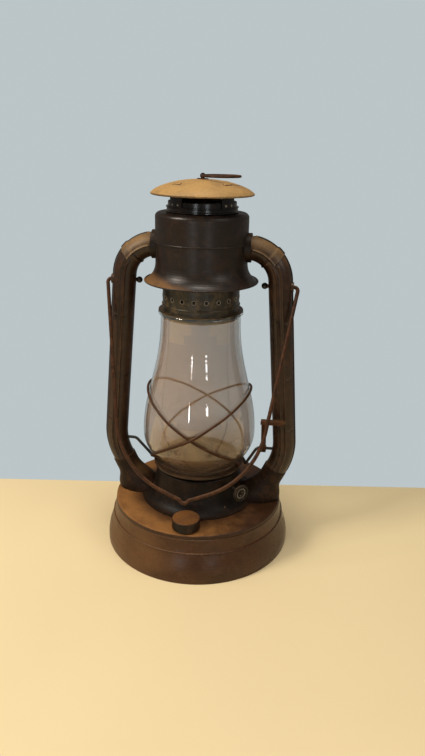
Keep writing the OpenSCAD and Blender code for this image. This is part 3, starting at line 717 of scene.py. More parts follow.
@dataclass(frozen=True)
class FilmFinish:
    """Old soot, oil and dust inside the globe, thick at its foot and rim; the thin film between is part dust
    and part painted shade that darkens and warms the view through the glass.
    """
    name: str
    low: float
    high: float
    tan: Colour = (0.2, 0.096, 0.032)
    brown: Colour = (0.055, 0.034, 0.018)
    foot: float = 0.86
    thin_film_and_shade: tuple[float, float] = (0.44, 0.54)
    rim: float = 0.9
    spots: float = 0.5
    deep: float = 0.75
    foot_band: tuple[float, float] = (-8.0, 62.0)
    deep_band: tuple[float, float] = (4.0, 30.0)
    rim_band: tuple[float, float] = (-5.0, -2.4)

    def build(self, effects: Effects) -> bpy.types.Material:
        """Makes the material, whose alpha follows the height.

        Args:
            effects: The shared effects; not used.

        Returns:
            The material.
        """
        material, g, shader = new_material(self.name)
        where = g.place()
        z = g.parts(where)[2]
        cloud = g.noise(where, 42.0, 6.0, 0.62)
        wander = g.plus(z, g.mul(g.less(cloud, 0.5), 0.03))
        foot_z, deep_z = ([(self.low + h) * MM for h in band] for band in (self.foot_band, self.deep_band))
        rim_z = [(self.high + h) * MM for h in self.rim_band]
        foot = g.step(wander, *foot_z, self.foot, 0.0)
        # Part dust, part painted shade: a thin even film that darkens and warms the view through the glass.
        thin_film_and_shade = g.step(g.noise(where, 18.0, 4.0, 0.6), 0.3, 0.75, *self.thin_film_and_shade)
        rim = g.step(z, *rim_z, 0.0, self.rim)
        spots = g.step(g.cells(where, 190.0), 0.06, 0.13, self.spots, 0.0)
        deep = g.step(z, *deep_z, self.deep, 0.0)
        g.plug(shader["Base Color"], g.mix(g.most(deep, rim, spots), self.tan, self.brown))
        g.plug(shader["Alpha"], g.most(foot, rim, thin_film_and_shade, spots))
        g.plug(shader["Roughness"], g.step(cloud, 0.3, 0.7, 0.55, 0.85))
        return material


@dataclass(frozen=True)
class CottonFinish:
    """Woven lamp wick, charred at its top."""
    name: str
    top: float
    clean: Colour = (0.56, 0.48, 0.34)
    shadow: Colour = (0.36, 0.29, 0.18)
    char: Colour = (0.012, 0.01, 0.008)
    threads: tuple[float, float] = (7000.0, 6000.0)
    char_band: tuple[float, float] = (-6.0, -0.5)

    def build(self, effects: Effects) -> bpy.types.Material:
        """Makes the material with a weave and a burnt end.

        Args:
            effects: The shared effects; not used.

        Returns:
            The material.
        """
        material, g, shader = new_material(self.name)
        where = g.place()
        turned = g.node("VectorRotate", {"Vector": where, "Angle": math.radians(45)}, rotation_type="Z_AXIS")
        x, _, z = g.parts(turned.outputs[0])
        weave = g.mul(*(g.math("SINE", g.mul(way, count)) for way, count in zip((x, z), self.threads)))
        ragged = g.plus(z, g.mul(g.noise(where, 600.0), 0.003))
        burnt = g.step(ragged, *((self.top + h) * MM for h in self.char_band))
        cloth = g.mix(g.step(weave, -0.6, 0.8), self.shadow, self.clean)
        g.plug(shader["Base Color"], g.mix(burnt, cloth, self.char))
        g.plug(shader["Roughness"], 0.9)
        g.plug(shader["Normal"], g.bump(weave, 0.6, 0.0004))
        return material


@dataclass(frozen=True)
class FloorFinish:
    """The pale top that the lantern stands on."""
    name: str
    colour: Colour = (0.78, 0.63, 0.37)
    fade: float = 0.95

    def build(self, effects: Effects) -> bpy.types.Material:
        """Makes the material with a faint change of tone.

        Args:
            effects: The shared effects; not used.

        Returns:
            The material.
        """
        material, g, shader = new_material(self.name)
        tone = g.step(g.noise(g.place(), 3.0, 3.0, 0.5), 0.3, 0.7)
        g.plug(shader["Base Color"], g.mix(tone, self.colour, tuple(self.fade * c for c in self.colour)))
        g.plug(shader["Roughness"], 0.6)
        return material


class Workshop:
    """Makes materials once and turns shells into pieces of the lantern."""
    SHARP = 38.0

    def __init__(self, nodes: dict[str, bpy.types.Object]) -> None:
        """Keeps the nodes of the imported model.

        Args:
            nodes: Every node by name.
        """
        self.nodes = nodes
        self.effects = Effects()
        self.made: dict[str, bpy.types.Material] = {}

    def material(self, finish: Any) -> bpy.types.Material:
        """Builds a finish's material on first use.

        Args:
            finish: The finish.

        Returns:
            The material.
        """
        if finish.name not in self.made:
            self.made[finish.name] = finish.build(self.effects)
        return self.made[finish.name]

    def mesh(self, name: str, shell: Shell, finish: Any, sharp: float = SHARP) -> bpy.types.Object:
        """Makes an object from a shell.

        Args:
            name: The object's name.
            shell: Its shape in millimetres.
            finish: Its finish.
            sharp: The angle over which an edge stays sharp.

        Returns:
            The object, in the scene.
        """
        data = bpy.data.meshes.new(name)
        data.from_pydata([p * MM for p in shell.points], [], shell.faces)
        data.validate()
        data.shade_smooth()
        data.set_sharp_from_angle(angle=math.radians(sharp))
        data.materials.append(self.material(finish))
        piece = bpy.data.objects.new(name, data)
        bpy.context.scene.collection.objects.link(piece)
        return piece

    def piece(self, name: str, shell: Shell, finish: Any, body: str, slot: str, *nodes: str,
              sharp: float = SHARP) -> bpy.types.Object:
        """Makes a piece that rides on a body.

        Args:
            name: The piece's name.
            shell: Its shape in millimetres.
            finish: Its finish.
            body: The body that it moves with.
            slot: The material slot that it belongs to; not used.
            nodes: The nodes that it stands for.
            sharp: The angle over which an edge stays sharp.

        Returns:
            The piece.
        """
        piece = self.mesh(name, shell, finish, sharp)
        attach(piece, body)
        if nodes:
            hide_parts(*nodes)
        LOG.info("piece %s on %s, %d faces", name, body, len(shell.faces))
        return piece

    def dress(self, finish: Any, *nodes: str) -> None:
        """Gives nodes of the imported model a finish.

        Args:
            finish: The finish.
            nodes: The nodes' names.
        """
        for node in nodes:
            data = self.nodes[node].data
            data.materials.clear()
            data.materials.append(self.material(finish))
            LOG.info("node %s in %s", node, finish.name)


# The skirt's dust leans strongly to -X: painted light on its lit side.
BROWN = MetalFinish("brown_tin", base=(0.056, 0.0195, 0.0052), stain=(0.031, 0.0112, 0.004),
                    bare=(0.13, 0.06, 0.024), dust=(0.17, 0.08, 0.025), dust_amount=0.5, dust_reach=0.75,
                    painted_light_side=2.2, wear=0.07, spun=0.4, rough=0.24, shine=0.27, rust_amount=0.2)
PLATE = MetalFinish("plate_tin", base=(0.022, 0.011, 0.005), stain=(0.01, 0.006, 0.004),
                    bare=(0.09, 0.05, 0.022), dust=(0.1, 0.05, 0.02), wear=0.3, shine=0.3)
# The deck: dust leaning to -X is painted light, and the clear ring round the air bell is painted shade.
DECK = MetalFinish("deck_tin", base=(0.04, 0.0155, 0.005), stain=(0.022, 0.009, 0.004),
                   bare=(0.16, 0.08, 0.03), dust=(0.28, 0.12, 0.031), dust_amount=1.0, dust_reach=0.46,
                   painted_light_side=1.1, wear=0.2, rough=0.45, coat=0.0, shine=0.25, stain_scale=18.0,
                   rust_amount=0.2, painted_shade_ring=(0.061, 0.085))
FILLER = MetalFinish("filler_tin", base=(0.007, 0.005, 0.004), stain=(0.014, 0.007, 0.004),
                     bare=(0.1, 0.05, 0.02), dust=(0.19, 0.075, 0.019), dust_amount=0.95, dust_reach=0.5,
                     wear=0.35, rust_amount=0.2, coat=0.0, shine=0.18)
BELL = MetalFinish("bell_tin", base=(0.0045, 0.003, 0.002), stain=(0.013, 0.006, 0.003),
                   bare=(0.05, 0.026, 0.012), dust=(0.06, 0.028, 0.01), dust_amount=0.25, dust_reach=0.3,
                   rough=0.5, stain_amount=0.6, wear=0.12, rust_amount=0.1, coat=0.0, shine=0.16)
# The tubes: the bright bare ridges are partly wear and partly a painted highlight; the dust leans slightly to
# +X as painted light.
TUBE = MetalFinish("tube_tin", base=(0.028, 0.012, 0.005), stain=(0.01, 0.0055, 0.0035),
                   bare=(0.15, 0.08, 0.034), dust=(0.17, 0.085, 0.028), dust_amount=0.55, dust_reach=0.7,
                   painted_light_side=-0.25, wear=0.6, wear_width=0.0007, rough=0.34, coat=0.1, shine=0.32,
                   rust_amount=0.22)
# The feet: dust thrown far to -X, painted light on the lit left foot.
FOOT = replace(TUBE, name="foot_tin", base=(0.017, 0.008, 0.004), rough=0.5, coat=0.0, shine=0.14,
               painted_light_side=3.0, dust_reach=-0.5, dust_amount=0.7, wear=0.4)
# The elbows: the bright bare ridge is partly wear and partly a painted highlight.
ELBOW = MetalFinish("elbow_tin", base=(0.022, 0.0105, 0.005), stain=(0.01, 0.0055, 0.0035),
                    bare=(0.4, 0.25, 0.11), dust=(0.25, 0.14, 0.05), dust_amount=0.9, dust_reach=1.1,
                    dust_soft=0.85, painted_light_side=0.1, wear=0.8, wear_width=0.0007, rough=0.36, shine=0.35,
                    rust_amount=0.2, arch=(0.0432, 0.2772, 0.0317))
SEAM = MetalFinish("seam_tin", base=(0.008, 0.0055, 0.004), stain=(0.018, 0.01, 0.006),
                   bare=(0.05, 0.03, 0.016), dust_amount=0.1, wear=0.12, rust_amount=0.15, rough=0.45,
                   shine=0.22, coat=0.0)
# The hood's flare: dust leaning to -X is painted light on its lit side.
HOOD = MetalFinish("hood_tin", base=(0.0105, 0.0075, 0.006), stain=(0.022, 0.0105, 0.006),
                   bare=(0.07, 0.042, 0.022), dust=(0.21, 0.1, 0.032), dust_amount=0.9, dust_reach=0.22,
                   dust_soft=0.4, painted_light_side=2.2, dust_below=0.292, wear=0.08, rough=0.36, coat=0.05,
                   shine=0.28, spun=0.3, rust_amount=0.1, stain_amount=0.55)
# The cap: its bright bare rim is partly wear and partly a painted highlight.
CAP = MetalFinish("cap_tin", base=(0.15, 0.082, 0.03), stain=(0.08, 0.045, 0.02), bare=(0.75, 0.54, 0.25),
                  dust=(0.42, 0.24, 0.07), dust_amount=0.95, dust_reach=0.95, wear=0.9, wear_width=0.0014,
                  rough=0.3, spun=0.5)
PATINA = MetalFinish("patina_tin", base=(0.02, 0.0165, 0.0105), stain=(0.0065, 0.006, 0.005),
                     bare=(0.24, 0.17, 0.085), rust=(0.11, 0.07, 0.03), rust_amount=0.6, rust_scale=85.0,
                     stain_scale=90.0, stain_amount=1.0, dust=(0.12, 0.065, 0.025), dust_amount=0.4,
                     wear=0.7, rough=0.36, shine=0.4, bump=0.25)
BLACK = MetalFinish("black_steel", base=(0.004, 0.004, 0.004), stain=(0.009, 0.0075, 0.0065),
                    bare=(0.08, 0.06, 0.045), dust=(0.08, 0.05, 0.025), dust_amount=0.15, dust_reach=0.3,
                    rust_amount=0.08, wear=0.25, rough=0.24, coat=0.1, shine=0.3)
# The thumb wheel: its bright rim is partly wear and partly a painted highlight.
KNOB = MetalFinish("knob_steel", base=(0.006, 0.005, 0.004), stain=(0.014, 0.009, 0.005),
                   bare=(0.12, 0.09, 0.06), dust_amount=0.1, wear=0.5, wear_width=0.0004, rough=0.45,
                   shine=0.2, coat=0.0, rust_amount=0.1)
# Bright steel: the real colour of the strap rivets, and a painted highlight on the thumb wheel and round the
# vents.
STUD_AND_HIGHLIGHT = MetalFinish("stud_steel_and_highlight", base=(0.24, 0.21, 0.165), stain=(0.11, 0.085, 0.055),
                   bare=(0.6, 0.54, 0.45), dust_amount=0.1, wear=0.8, wear_width=0.0003, rough=0.34,
                   rust_amount=0.25)
RUSTY = MetalFinish("rusty_wire", base=(0.046, 0.0165, 0.0055), stain=(0.019, 0.008, 0.004),
                    rust=(0.095, 0.036, 0.012), dust=(0.32, 0.18, 0.08), stain_amount=0.85,
                    stain_scale=70.0, rust_amount=0.6, rust_scale=240.0, dust_amount=0.12, dust_reach=0.5,
                    metal=0.05, rough=0.4, rough_by=(0.0, 0.35, 0.0), coat=0.0, shine=0.17,
                    grain=(1900.0, 300.0, 0.25), bump=0.3, bump_depth=0.0004)
CRANK = replace(RUSTY, name="black_wire", base=(0.012, 0.01, 0.009), stain=(0.007, 0.006, 0.005),
                rust=(0.05, 0.026, 0.014), rust_amount=0.3, dust_amount=0.1, metal=0.2, shine=0.5)
SPRING = replace(CRANK, name="spring_wire", base=(0.24, 0.23, 0.22), stain=(0.09, 0.08, 0.07),
                 rust=(0.21, 0.098, 0.042), metal=0.9, rough=0.35)
BRASS = MetalFinish("dull_brass", base=(0.14, 0.085, 0.033), stain=(0.03, 0.018, 0.008),
                    bare=(0.4, 0.27, 0.11), dust=(0.26, 0.16, 0.07), stain_amount=0.85, stain_scale=60.0,
                    rust_amount=0.0, wear=0.8, wear_width=0.0005, dust_amount=0.3, dust_reach=0.4,
                    metal=0.95, dulled=0.7368, rough=0.45, rough_by=(0.2, 0.0, 0.0), coat=0.0,
                    grain=(2200.0, 160.0, 0.3), bump=0.15, bump_depth=0.0003)
RUBBER = MetalFinish("gasket_rubber", base=(0.02, 0.02, 0.02), stain=(0.035, 0.033, 0.03),
                     bare=(0.05, 0.05, 0.05), wear=0.2, rust_amount=0.0, dust_amount=0.3, rough=0.75,
                     coat=0.0)
GLASS = GlassFinish("clear_glass")


@dataclass
class SideTubes:
    """The two bent air tubes, their elbows to the hood and their feet on the deck."""
    shop: Workshop
    r: float = 11.1
    arch: tuple[float, float] = (43.2, 277.2)
    arch_r: float = 31.7
    lean: float = 4.6
    elbow_end: float = 36.0
    elbow_tip: Line = ((0, 3), (72, 1), (90, -1), (104, 8), (180, 9))
    lap: float = 13.0
    sleeve: float = 7.0
    bend_z: float = 116.0
    bend_r: float = 60.0
    foot_lean: float = 24.0
    tail: float = 13.0
    wall: float = 0.8
    gap: float = 0.1
    seam: float = 0.9
    fold_line: Line = ((-9, -0.3), (-8, 0.25), (-4.5, 0.95), (0, 0.98), (4.5, 0.95), (8, 0.25), (9, -0.3))
    deck: float = 48.0
    foot_x: float = 62.0
    foot_a: float = 24.0
    foot_b: float = 17.0
    hood_r: float = 43.5
    bury: float = 1.6
    lip: float = 0.04
    ridge_from: float = 0.14
    ridge_run: float = 0.06
    fold_from: float = 78.0
    sides: int = 88
    crimps: tuple[float, ...] = (240.0, 184.5, 129.5)
    crimp: float = 0.75
    crease_h: float = 0.95
    crease_w: float = 2.6
    roof_h: float = 0.4
    roof_w: float = 42.0
    bead_h: float = 1.2
    bead_w: float = 3.0
    bead_at: float = 11.0
    groove_h: float = 0.8
    groove_w: float = 5.5

    def __post_init__(self) -> None:
        """Works out the tube's middle line."""
        out = Vector((cos(self.lean), sin(self.lean)))
        self.arch_end = Vector((self.arch[0] + self.arch_r * out.x, self.arch[1] + self.arch_r * out.y))
        run = (self.arch_end.y - self.bend_z) / cos(self.lean)
        self.bend_c = self.arch_end + run * Vector((out.y, -out.x)) - self.bend_r * out
        self.down = Vector((-sin(self.foot_lean), -cos(self.foot_lean)))
        self.bend_end = self.bend_c + self.bend_r * Vector((cos(self.foot_lean), -sin(self.foot_lean)))
        self.foot_top = self.bend_end + (self.tail - self.sleeve - 2) * self.down

    def ridge(self, t: float, single: bool = False) -> float:
        """How far the creases and the folded seam stand out.

        Args:
            t: The angle round the tube from its outer side.
            single: Whether there is one crease in front, or two with a groove between.

        Returns:
            The height in millimetres.
        """
        side = apart(t)
        front = abs(side - 90)
        if single:
            crease = (self.crease_h * bell(front, self.crease_w)
                      + self.roof_h * max(0.0, 1 - front / self.roof_w))
        else:
            crease = (self.bead_h * bell(front - self.bead_at, self.bead_w)
                      - self.groove_h * bell(front, self.groove_w))
        return crease + self.seam * (1 - ease((side - 4.0) / 4.5))

    @staticmethod
    def mark(t: float) -> float:
        """Where a crimp mark lies round the tube, front and back of its outer half."""
        return ease((apart(t) - 22) / 10) * (1 - ease((apart(t) - 66) / 12))

    def over(self, a: float) -> float:
        """How far the elbow stands over the tube at an angle of the arch."""
        return ease((self.elbow_end + self.lap + 1 - a) / 1.5) * (self.gap + self.wall)

    @staticmethod
    def point(centre: Spot, reach: float, a: float, t: float, q: float) -> Vector:
        """A point on a bent tube.

        Args:
            centre: The middle of the bend, or of the tube where it is straight.
            reach: The bend's radius, or 0.
            a: The angle on the bend, or of the tube's outer side over the level.
            t: The angle round the tube from its outer side.
            q: The tube's radius.

        Returns:
            The point.
        """
        d = reach + q * cos(t)
        return Vector((centre[0] + d * cos(a), q * sin(t), centre[1] + d * sin(a)))

    def ring(self, centre: Spot, reach: float, a: float, ridges: float = 1.0, dent: float = 0.0) -> Ring:
        """A ring of the long tube.

        Args:
            centre, reach, a: Its place, as for a point.
            ridges: The share of the creases' height.
            dent: The depth of a crimp mark.

        Returns:
            The ring's points.
        """
        return [self.point(centre, reach, a, t, self.r + ridges * self.ridge(t) - dent * self.mark(t))
                for t in circle(self.sides)]

    def tube(self) -> Shell:
        """The long tube, with its pressed crimp marks.

        Returns:
            The right one's shell.
        """
        rings = [self.ring(self.arch, self.arch_r, a, ease((self.elbow_end - 2 - a) / 3))
                 for a in spaced(self.elbow_end + self.lap - 0.5, self.lean, 10)]
        heights = {round(self.arch_end.y - 4 * k, 2) for k in range(1, 40)}
        near_crimp = (0, 0.4, 0.9, 1.6, 2.4)
        heights |= {round(c + s * d, 2) for c in self.crimps for s in (-1, 1) for d in near_crimp}
        for z in sorted(heights, reverse=True):
            if self.bend_z + 0.3 < z < self.arch_end.y - 0.3:
                near = min(abs(z - c) for c in self.crimps)
                x = self.arch_end.x + (self.arch_end.y - z) * math.tan(math.radians(self.lean))
                rings.append(self.ring((x, z), 0.0, self.lean, dent=self.crimp * bell(near, self.crimp)))
        rings += [self.ring(self.bend_c, self.bend_r, a) for a in spaced(self.lean, -self.foot_lean, 18)]
        for step, share in ((2.0, 1.0), (3.6, 0.5), (4.2, 0.0), (self.tail, 0.0)):
            rings.append(self.ring(self.bend_end + step * self.down, 0.0, -self.foot_lean, share))
        return Shell.loft(rings)

    def elbow(self) -> Shell:
        """The elbow, whose end is cut to a point along each crease.

        Returns:
            The right one's shell.
        """
        top = self.arch[1] + self.arch_r
        rings = [[Vector((self.hood_r - self.bury, self.r * sin(t), top + self.r * cos(t)))
                  for t in circle(self.sides)]]
        for u, shut in [(u, False) for u in spaced(0.0, 1.0, 30)] + [(1.0, True)]:
            ring = []
            for t in circle(self.sides):
                a = 90 + (self.elbow_end + lookup(apart(t), self.elbow_tip) - 90) * u
                q = self.r + self.over(a) + self.ridge(t, True) * ease((u - self.ridge_from) / self.ridge_run)
                ring.append(self.point(self.arch, self.arch_r, a, t, self.r + self.lip if shut else q))
            rings.append(ring)
        return Shell.loft(rings, True, False)

    def fold(self) -> Shell:
        """The dark folded seam along the outer side of the elbow and the tube.

        Returns:
            The right one's shell.
        """
        end = self.elbow_end
        elbow = [(self.arch, self.arch_r, a, self.over(a)) for a in spaced(self.fold_from, end + 3.2, 24)]
        tube = [(self.arch, self.arch_r, a, 0.0) for a in spaced(end + 2.6, self.lean, 12)]
        tube += [(self.bend_c, self.bend_r, a, 0.0) for a in spaced(self.lean, -self.foot_lean, 24)]
        elbow, tube = (Shell.loft([[self.point(centre, reach, a, t, self.r + over + lift)
                                    for t, lift in self.fold_line] for centre, reach, a, over in run])
                       for run in (elbow, tube))
        return elbow + tube

    def foot(self) -> Shell:
        """The foot that spreads the tube on to the deck.

        Returns:
            The right one's shell.
        """
        wall = self.r + self.gap + self.wall
        mid = self.foot_top + self.sleeve * self.down
        n, toe = 30, (self.foot_x, self.deck)
        line = bezier(mid, mid + 8 * self.down, (self.foot_x + 4, self.deck + 12), toe, n)
        sleeve = [(0.0, wall - self.wall)] + [(s, wall) for s in (0.0, 2.0, self.sleeve - 1.5, self.sleeve)]
        rings = [self.oval(self.foot_top + s * self.down, self.foot_lean, r, r) for s, r in sleeve]
        for k in range(1, n + 1):
            t = ((1 - cos(180 * k / n)) / 2) ** 1.5
            rings.append(self.oval(line[k], self.foot_lean * (1 - k / n), wall * (1 - t) + self.foot_a * t,
                                   wall * (1 - t) + self.foot_b * t))
        return Shell.loft(rings, False, False)

    def oval(self, c: Vector, tilt: float, a: float, b: float) -> Ring:
        """An oval ring of the foot by its middle, its tilt and its half lengths across and in depth."""
        return [Vector((c.x + a * cos(t) * cos(tilt), b * sin(t), c.y - a * cos(t) * sin(tilt)))
                for t in circle(self.sides)]

    def build(self) -> None:
        """Makes both tubes."""
        for hand in Hand:
            for name, shell, finish, slot, node, sharp in (
                    ("tube", self.tube(), TUBE, "dark_tin", "side_tube", 60),
                    ("elbow", self.elbow(), ELBOW, "dusty_tin", "top_elbow", 50),
                    ("fold", self.fold(), SEAM, "dark_tin", "", 50),
                    ("foot", self.foot(), FOOT, "dark_tin", "tube_foot", 50)):
                nodes = [f"{hand.word}_{node}"] if node else []
                self.shop.piece(f"{hand.word}_{name}", shell.on(hand), finish, "frame", slot, *nodes,
                                sharp=sharp)
            self.shop.dress(SEAM, f"{hand.word}_ferrule")
            self.shop.dress(TUBE, f"{hand.word}_bail_boss")


@dataclass
class Fount:
    """The oil tank that the lantern stands on, with its filler."""
    shop: Workshop
    base_r: float = 96.6
    waist_r: float = 87.5
    filler_y: float = 72.5
    neck_r: float = 10.5
    deck: float = 48.0
    pitch: float = 2.5
    turns: float = 2.4

    def thread(self) -> Shell:
        """The screw thread of the filler neck.

        Returns:
            Its ridge as a wire.
        """
        n = 110
        path = []
        for i in range(n + 1):
            a = 360 * self.turns * i / n
            z = self.deck + 2.2 + self.pitch * self.turns * i / n
            path.append(Vector((self.neck_r * cos(a), self.neck_r * sin(a) - self.filler_y, z)))
        return Shell.wire(path, lambda i: 0.55 * min(1.0, 0.2 + i / 12, 0.2 + (n - i) / 12), 8)

    def seam(self) -> Shell:
        """The lapped seam at the back of the skirt.

        Returns:
            The shell.
        """
        low, high = self.base_r, self.waist_r
        curve = bezier((low, 5), (low, 16), (high + 1.5, 26), (high, 43.4), 16)
        return Shell.strip([p for p in curve if p.y > 9], 90, 2.6, 0.35)

    def build(self) -> None:
        """Dresses the tank and adds its seam and screw thread."""
        self.shop.dress(BROWN, "fount_skirt", "fount_floor")
        self.shop.dress(DECK, "fount_deck", "filler_neck")
        self.shop.dress(FILLER, "filler_cap")
        self.shop.dress(RUBBER, "filler_gasket")
        self.shop.piece("neck_thread", self.thread(), DECK, "frame", "brown_tin")
        self.shop.piece("skirt_seam", self.seam(), BROWN, "frame", "brown_tin")


@dataclass
class AirChamber:
    """The bell over the deck, its rivets and the wick's thumb wheel, which carries a painted highlight."""
    shop: Workshop
    wick_az: float = -45.0
    wick_off: float = 5.6
    shaft_z: float = 73.0
    knob_at: float = 64.0
    knob_r: float = 8.8
    mill: float = 0.35
    ring_r: float = 4.9
    ring_w: float = 0.36
    highlight_stroke_az: float = -30.0
    deck: float = 48.0
    foot_r: float = 57.5
    top_r: float = 44.0
    top: float = 82.0
    rivet_at: Line = ((-48.5, 0.34), (-20.0, 0.6), (-160.0, 0.6), (20.0, 0.6), (160.0, 0.6))

    def rivets(self) -> Shell:
        """The small rivets on the chamber's side.

        Returns:
            All rivets in one shell.
        """
        n = 50
        curve = bezier((self.foot_r, self.deck + 0.8), (self.foot_r - 7, self.deck + 2),
                       (self.top_r + 1.5, self.deck + 12), (self.top_r, self.top - 3), n)
        shell = Shell()
        for az, share in self.rivet_at:
            p, after = curve[int(n * share)], curve[int(n * share) + 1]
            d = (after - p).normalized()
            out = polar(d.y, az, -d.x)
            shell += Shell.dome(polar(p.x, az, p.y) - 0.1 * out, out, 1.1, 0.7)
        return shell

    def thumb_wheel(self) -> Shell:
        """The thumb wheel with its milled rim, about Z.

        Returns:
            The shell.
        """
        rim = ((-2, -0.4), (-0.8, -1), (-0.15, -0.7), (0, -0.4), (0, 1.3), (-0.2, 1.6), (-0.5, 1.8),
               (-1.6, 1.8), (-2.2, 0.8))
        outline = [(0, -1.6), (3, -1.6), (3, -0.4), *((self.knob_r + r, z) for r, z in rim),
                   (2.6, 0.8), (2.6, 1.6), (0, 1.6)]
        rings = []
        for r, z in outline:
            cut = self.mill if r > self.knob_r - 0.1 else 0.0
            rings.append([polar(r - cut * (j % 4 > 1), t, z) for j, t in enumerate(circle(96))])
        return Shell.loft(rings, False, False)

    def wheel_highlight(self) -> Shell:
        """A painted highlight on the thumb wheel's face, about Z: a bright ring where the rim catches the
        light, and a bright stroke for the light on the shaft's flattened end.

        Returns:
            Both in one shell.
        """
        ring = [polar(self.ring_r, 10 * k, 0.95) for k in range(37)]
        highlight_stroke = [polar(t, self.highlight_stroke_az, 1.55) for t in (-1.8, -1.6, 0, 2.2, 2.5)]
        return Shell.wire(ring, self.ring_w, 10) + Shell.wire(highlight_stroke, self.ring_w, 10)

    def build(self) -> None:
        """Dresses the chamber and makes the thumb wheel."""
        self.shop.dress(BELL, "air_bell")
        shaft = (spin(self.wick_az, "Z") @ Matrix.Translation((0, self.wick_off, self.shaft_z))
                 @ spin(90, "Y") @ Matrix.Translation((0, 0, self.knob_at)))
        self.shop.piece("milled_wheel", self.thumb_wheel().moved(shaft), KNOB, "wick_drive", "brass",
                        "thumb_wheel", sharp=30)
        # Painted highlight: a bright ring and stroke on the thumb wheel's face.
        self.shop.piece("wheel_highlight", self.wheel_highlight().moved(shaft), STUD_AND_HIGHLIGHT, "wick_drive", "brass", sharp=60)
        self.shop.piece("bell_rivets", self.rivets(), TUBE, "frame", "dark_tin", sharp=60)


@dataclass
class Burner:
    """The burner, its cone, the wick and its raiser."""
    shop: Workshop
    wick_top: float = 100.0
    wick_low: float = 15.0
    wick_w: float = 17.6
    wick_t: float = 2.4
    wick_az: float = -45.0
    rows: int = 57

    def wick(self) -> Shell:
        """The woven wick, soft at its edges and burnt uneven at its top.

        Returns:
            The shell.
        """
        rings = []
        for k, z in enumerate(spaced(self.wick_low, self.wick_top - 0.8, self.rows)):
            ring = []
            for a in circle(44):
                x = self.wick_w / 2 * math.copysign(abs(cos(a)) ** 0.35, cos(a))
                half = self.wick_t / 2 * (0.9 + 0.08 * sin(70 * k) * sin(9 * x * 10))
                y = half * math.copysign(abs(sin(a)) ** 0.6, sin(a))
                burnt = 0.75 * sin(47 * x) * sin(31 * x + 40) if k == self.rows else 0.0
                ring.append(Vector((x, y, z + burnt)))
            rings.append(ring)
        return Shell.loft(rings).turn(self.wick_az)

    def build(self) -> None:
        """Dresses the burner and makes the wick."""
        self.shop.dress(BRASS, "burner_collar", "burner_body", "draft_plate", "burner_cone", "wick_tube",
                        "star_wheels")
        self.shop.dress(KNOB, "wick_shaft")
        cotton = CottonFinish("lamp_wick", self.wick_top)
        self.shop.piece("woven_wick", self.wick(), cotton, "wick", "cotton", "wick")


@dataclass
class HoodPieces:
    """The hood and the seam at its back."""
    shop: Workshop
    r: float = 43.5
    low: float = 296.0
    high: float = 335.0

    def build(self) -> None:
        """Dresses the hood and adds its seam."""
        self.shop.dress(HOOD, "hood")
        outline = [(self.r, z) for z in spaced(self.low, self.high, 4)]
        self.shop.piece("hood_seam", Shell.strip(outline, 90, 2.2, 0.35), HOOD, "frame", "dark_tin")


@dataclass
class GlobeCarriage:
    """The glass globe, the plate under it and the crossed wire guards."""
    shop: Workshop
    plate: float = 86.8
    foot_r: float = 42.4
    foot_h: float = 4.6
    r: float = 57.4
    belly: float = 34.0
    rim_r: float = 39.6
    top: float = 248.0
    skin: float = 1.2
    guard_r: float = 1.3
    guard_z: float = 134.8
    guard_rise: float = 34.0
    guard_turn: float = 162.0
    guard_foot: float = 45.4
    guard_low: float = 87.7
    clear: float = 0.4

    def __post_init__(self) -> None:
        """Works out the globe's outline, and its radius by height."""
        belly, foot, neck = self.plate + self.belly, self.plate + self.foot_h, self.rim_r - 0.8
        self.outline = [Vector((self.foot_r, self.plate))]
        self.outline += bezier((self.foot_r, foot), (self.foot_r + 3, foot + 3),
                               (self.r, belly - self.belly * 0.5), (self.r, belly), 24)
        self.outline += bezier((self.r, belly), (self.r, belly + 44), (neck, belly + 66),
                               (neck, self.top - 6), 40)[1:]
        self.outline.append(Vector((neck, self.top - 3)))
        self.girth = [(p.y, p.x) for p in self.outline]

    def guard(self, over: float) -> Shell:
        """One guard wire, from its foot at the right round the left and back.

        Args:
            over: The share of a wire's thickness by which it passes over the other.

        Returns:
            The wire.
        """
        drop = self.guard_z - self.guard_low - 3
        path = []
        for i in range(-72, 73):
            t = self.guard_turn * i / 72
            z = self.guard_z + (self.guard_rise * cos(t) if abs(t) < 90
                                else -drop * (abs(t) - 90) / (self.guard_turn - 90))
            slope = lookup(z + 0.5, self.girth) - lookup(z - 0.5, self.girth)
            near = abs(abs(t) - 90)
            bump = (2 * self.guard_r + self.clear) * (1 + cos(7.5 * near)) / 2 if near < 24 else 0.0
            off = (self.guard_r + self.clear) * math.sqrt(1 + slope * slope)
            r = max(self.guard_foot, lookup(z, self.girth) + off) + over * bump
            path.append(Vector((-r * cos(t), r * sin(t), z)))
        for s, index in ((-1, 0), (1, len(path))):
            path.insert(index, Vector((-self.guard_foot * cos(self.guard_turn),
                                       s * self.guard_foot * sin(self.guard_turn), self.guard_low)))
        return Shell.wire(path, self.guard_r)

    def film(self) -> Shell:
        """The sooty film just inside the glass, partly painted shade.

        Returns:
            The shell.
        """
        inside = []
        for i, p in enumerate(self.outline):
            a, b = self.outline[max(i - 1, 0)], self.outline[min(i + 1, len(self.outline) - 1)]
            d = (b - a).normalized()
            inside.append(p + (self.skin + 0.1) * Vector((-d.y, d.x)))
        return Shell.turned([p for p in inside if p.y > self.plate + 1])

    def build(self) -> None:
        """Makes the guards and the film, and dresses the glass and the plate."""
        self.shop.dress(GLASS, "globe")
        self.shop.dress(PLATE, "globe_plate")
        film = FilmFinish("globe_film", self.plate, self.top)
        for name, shell, finish, slot, *nodes in (
                ("globe_film", self.film(), film, "clear_glass"),
                ("left_guard_wire", self.guard(0.0), RUSTY, "rusty_wire", "left_guard"),
                ("right_guard_wire", self.guard(1.0).on(Hand.LEFT), RUSTY, "rusty_wire", "right_guard")):
            self.shop.piece(name, shell, finish, "globe_carriage", slot, *nodes)


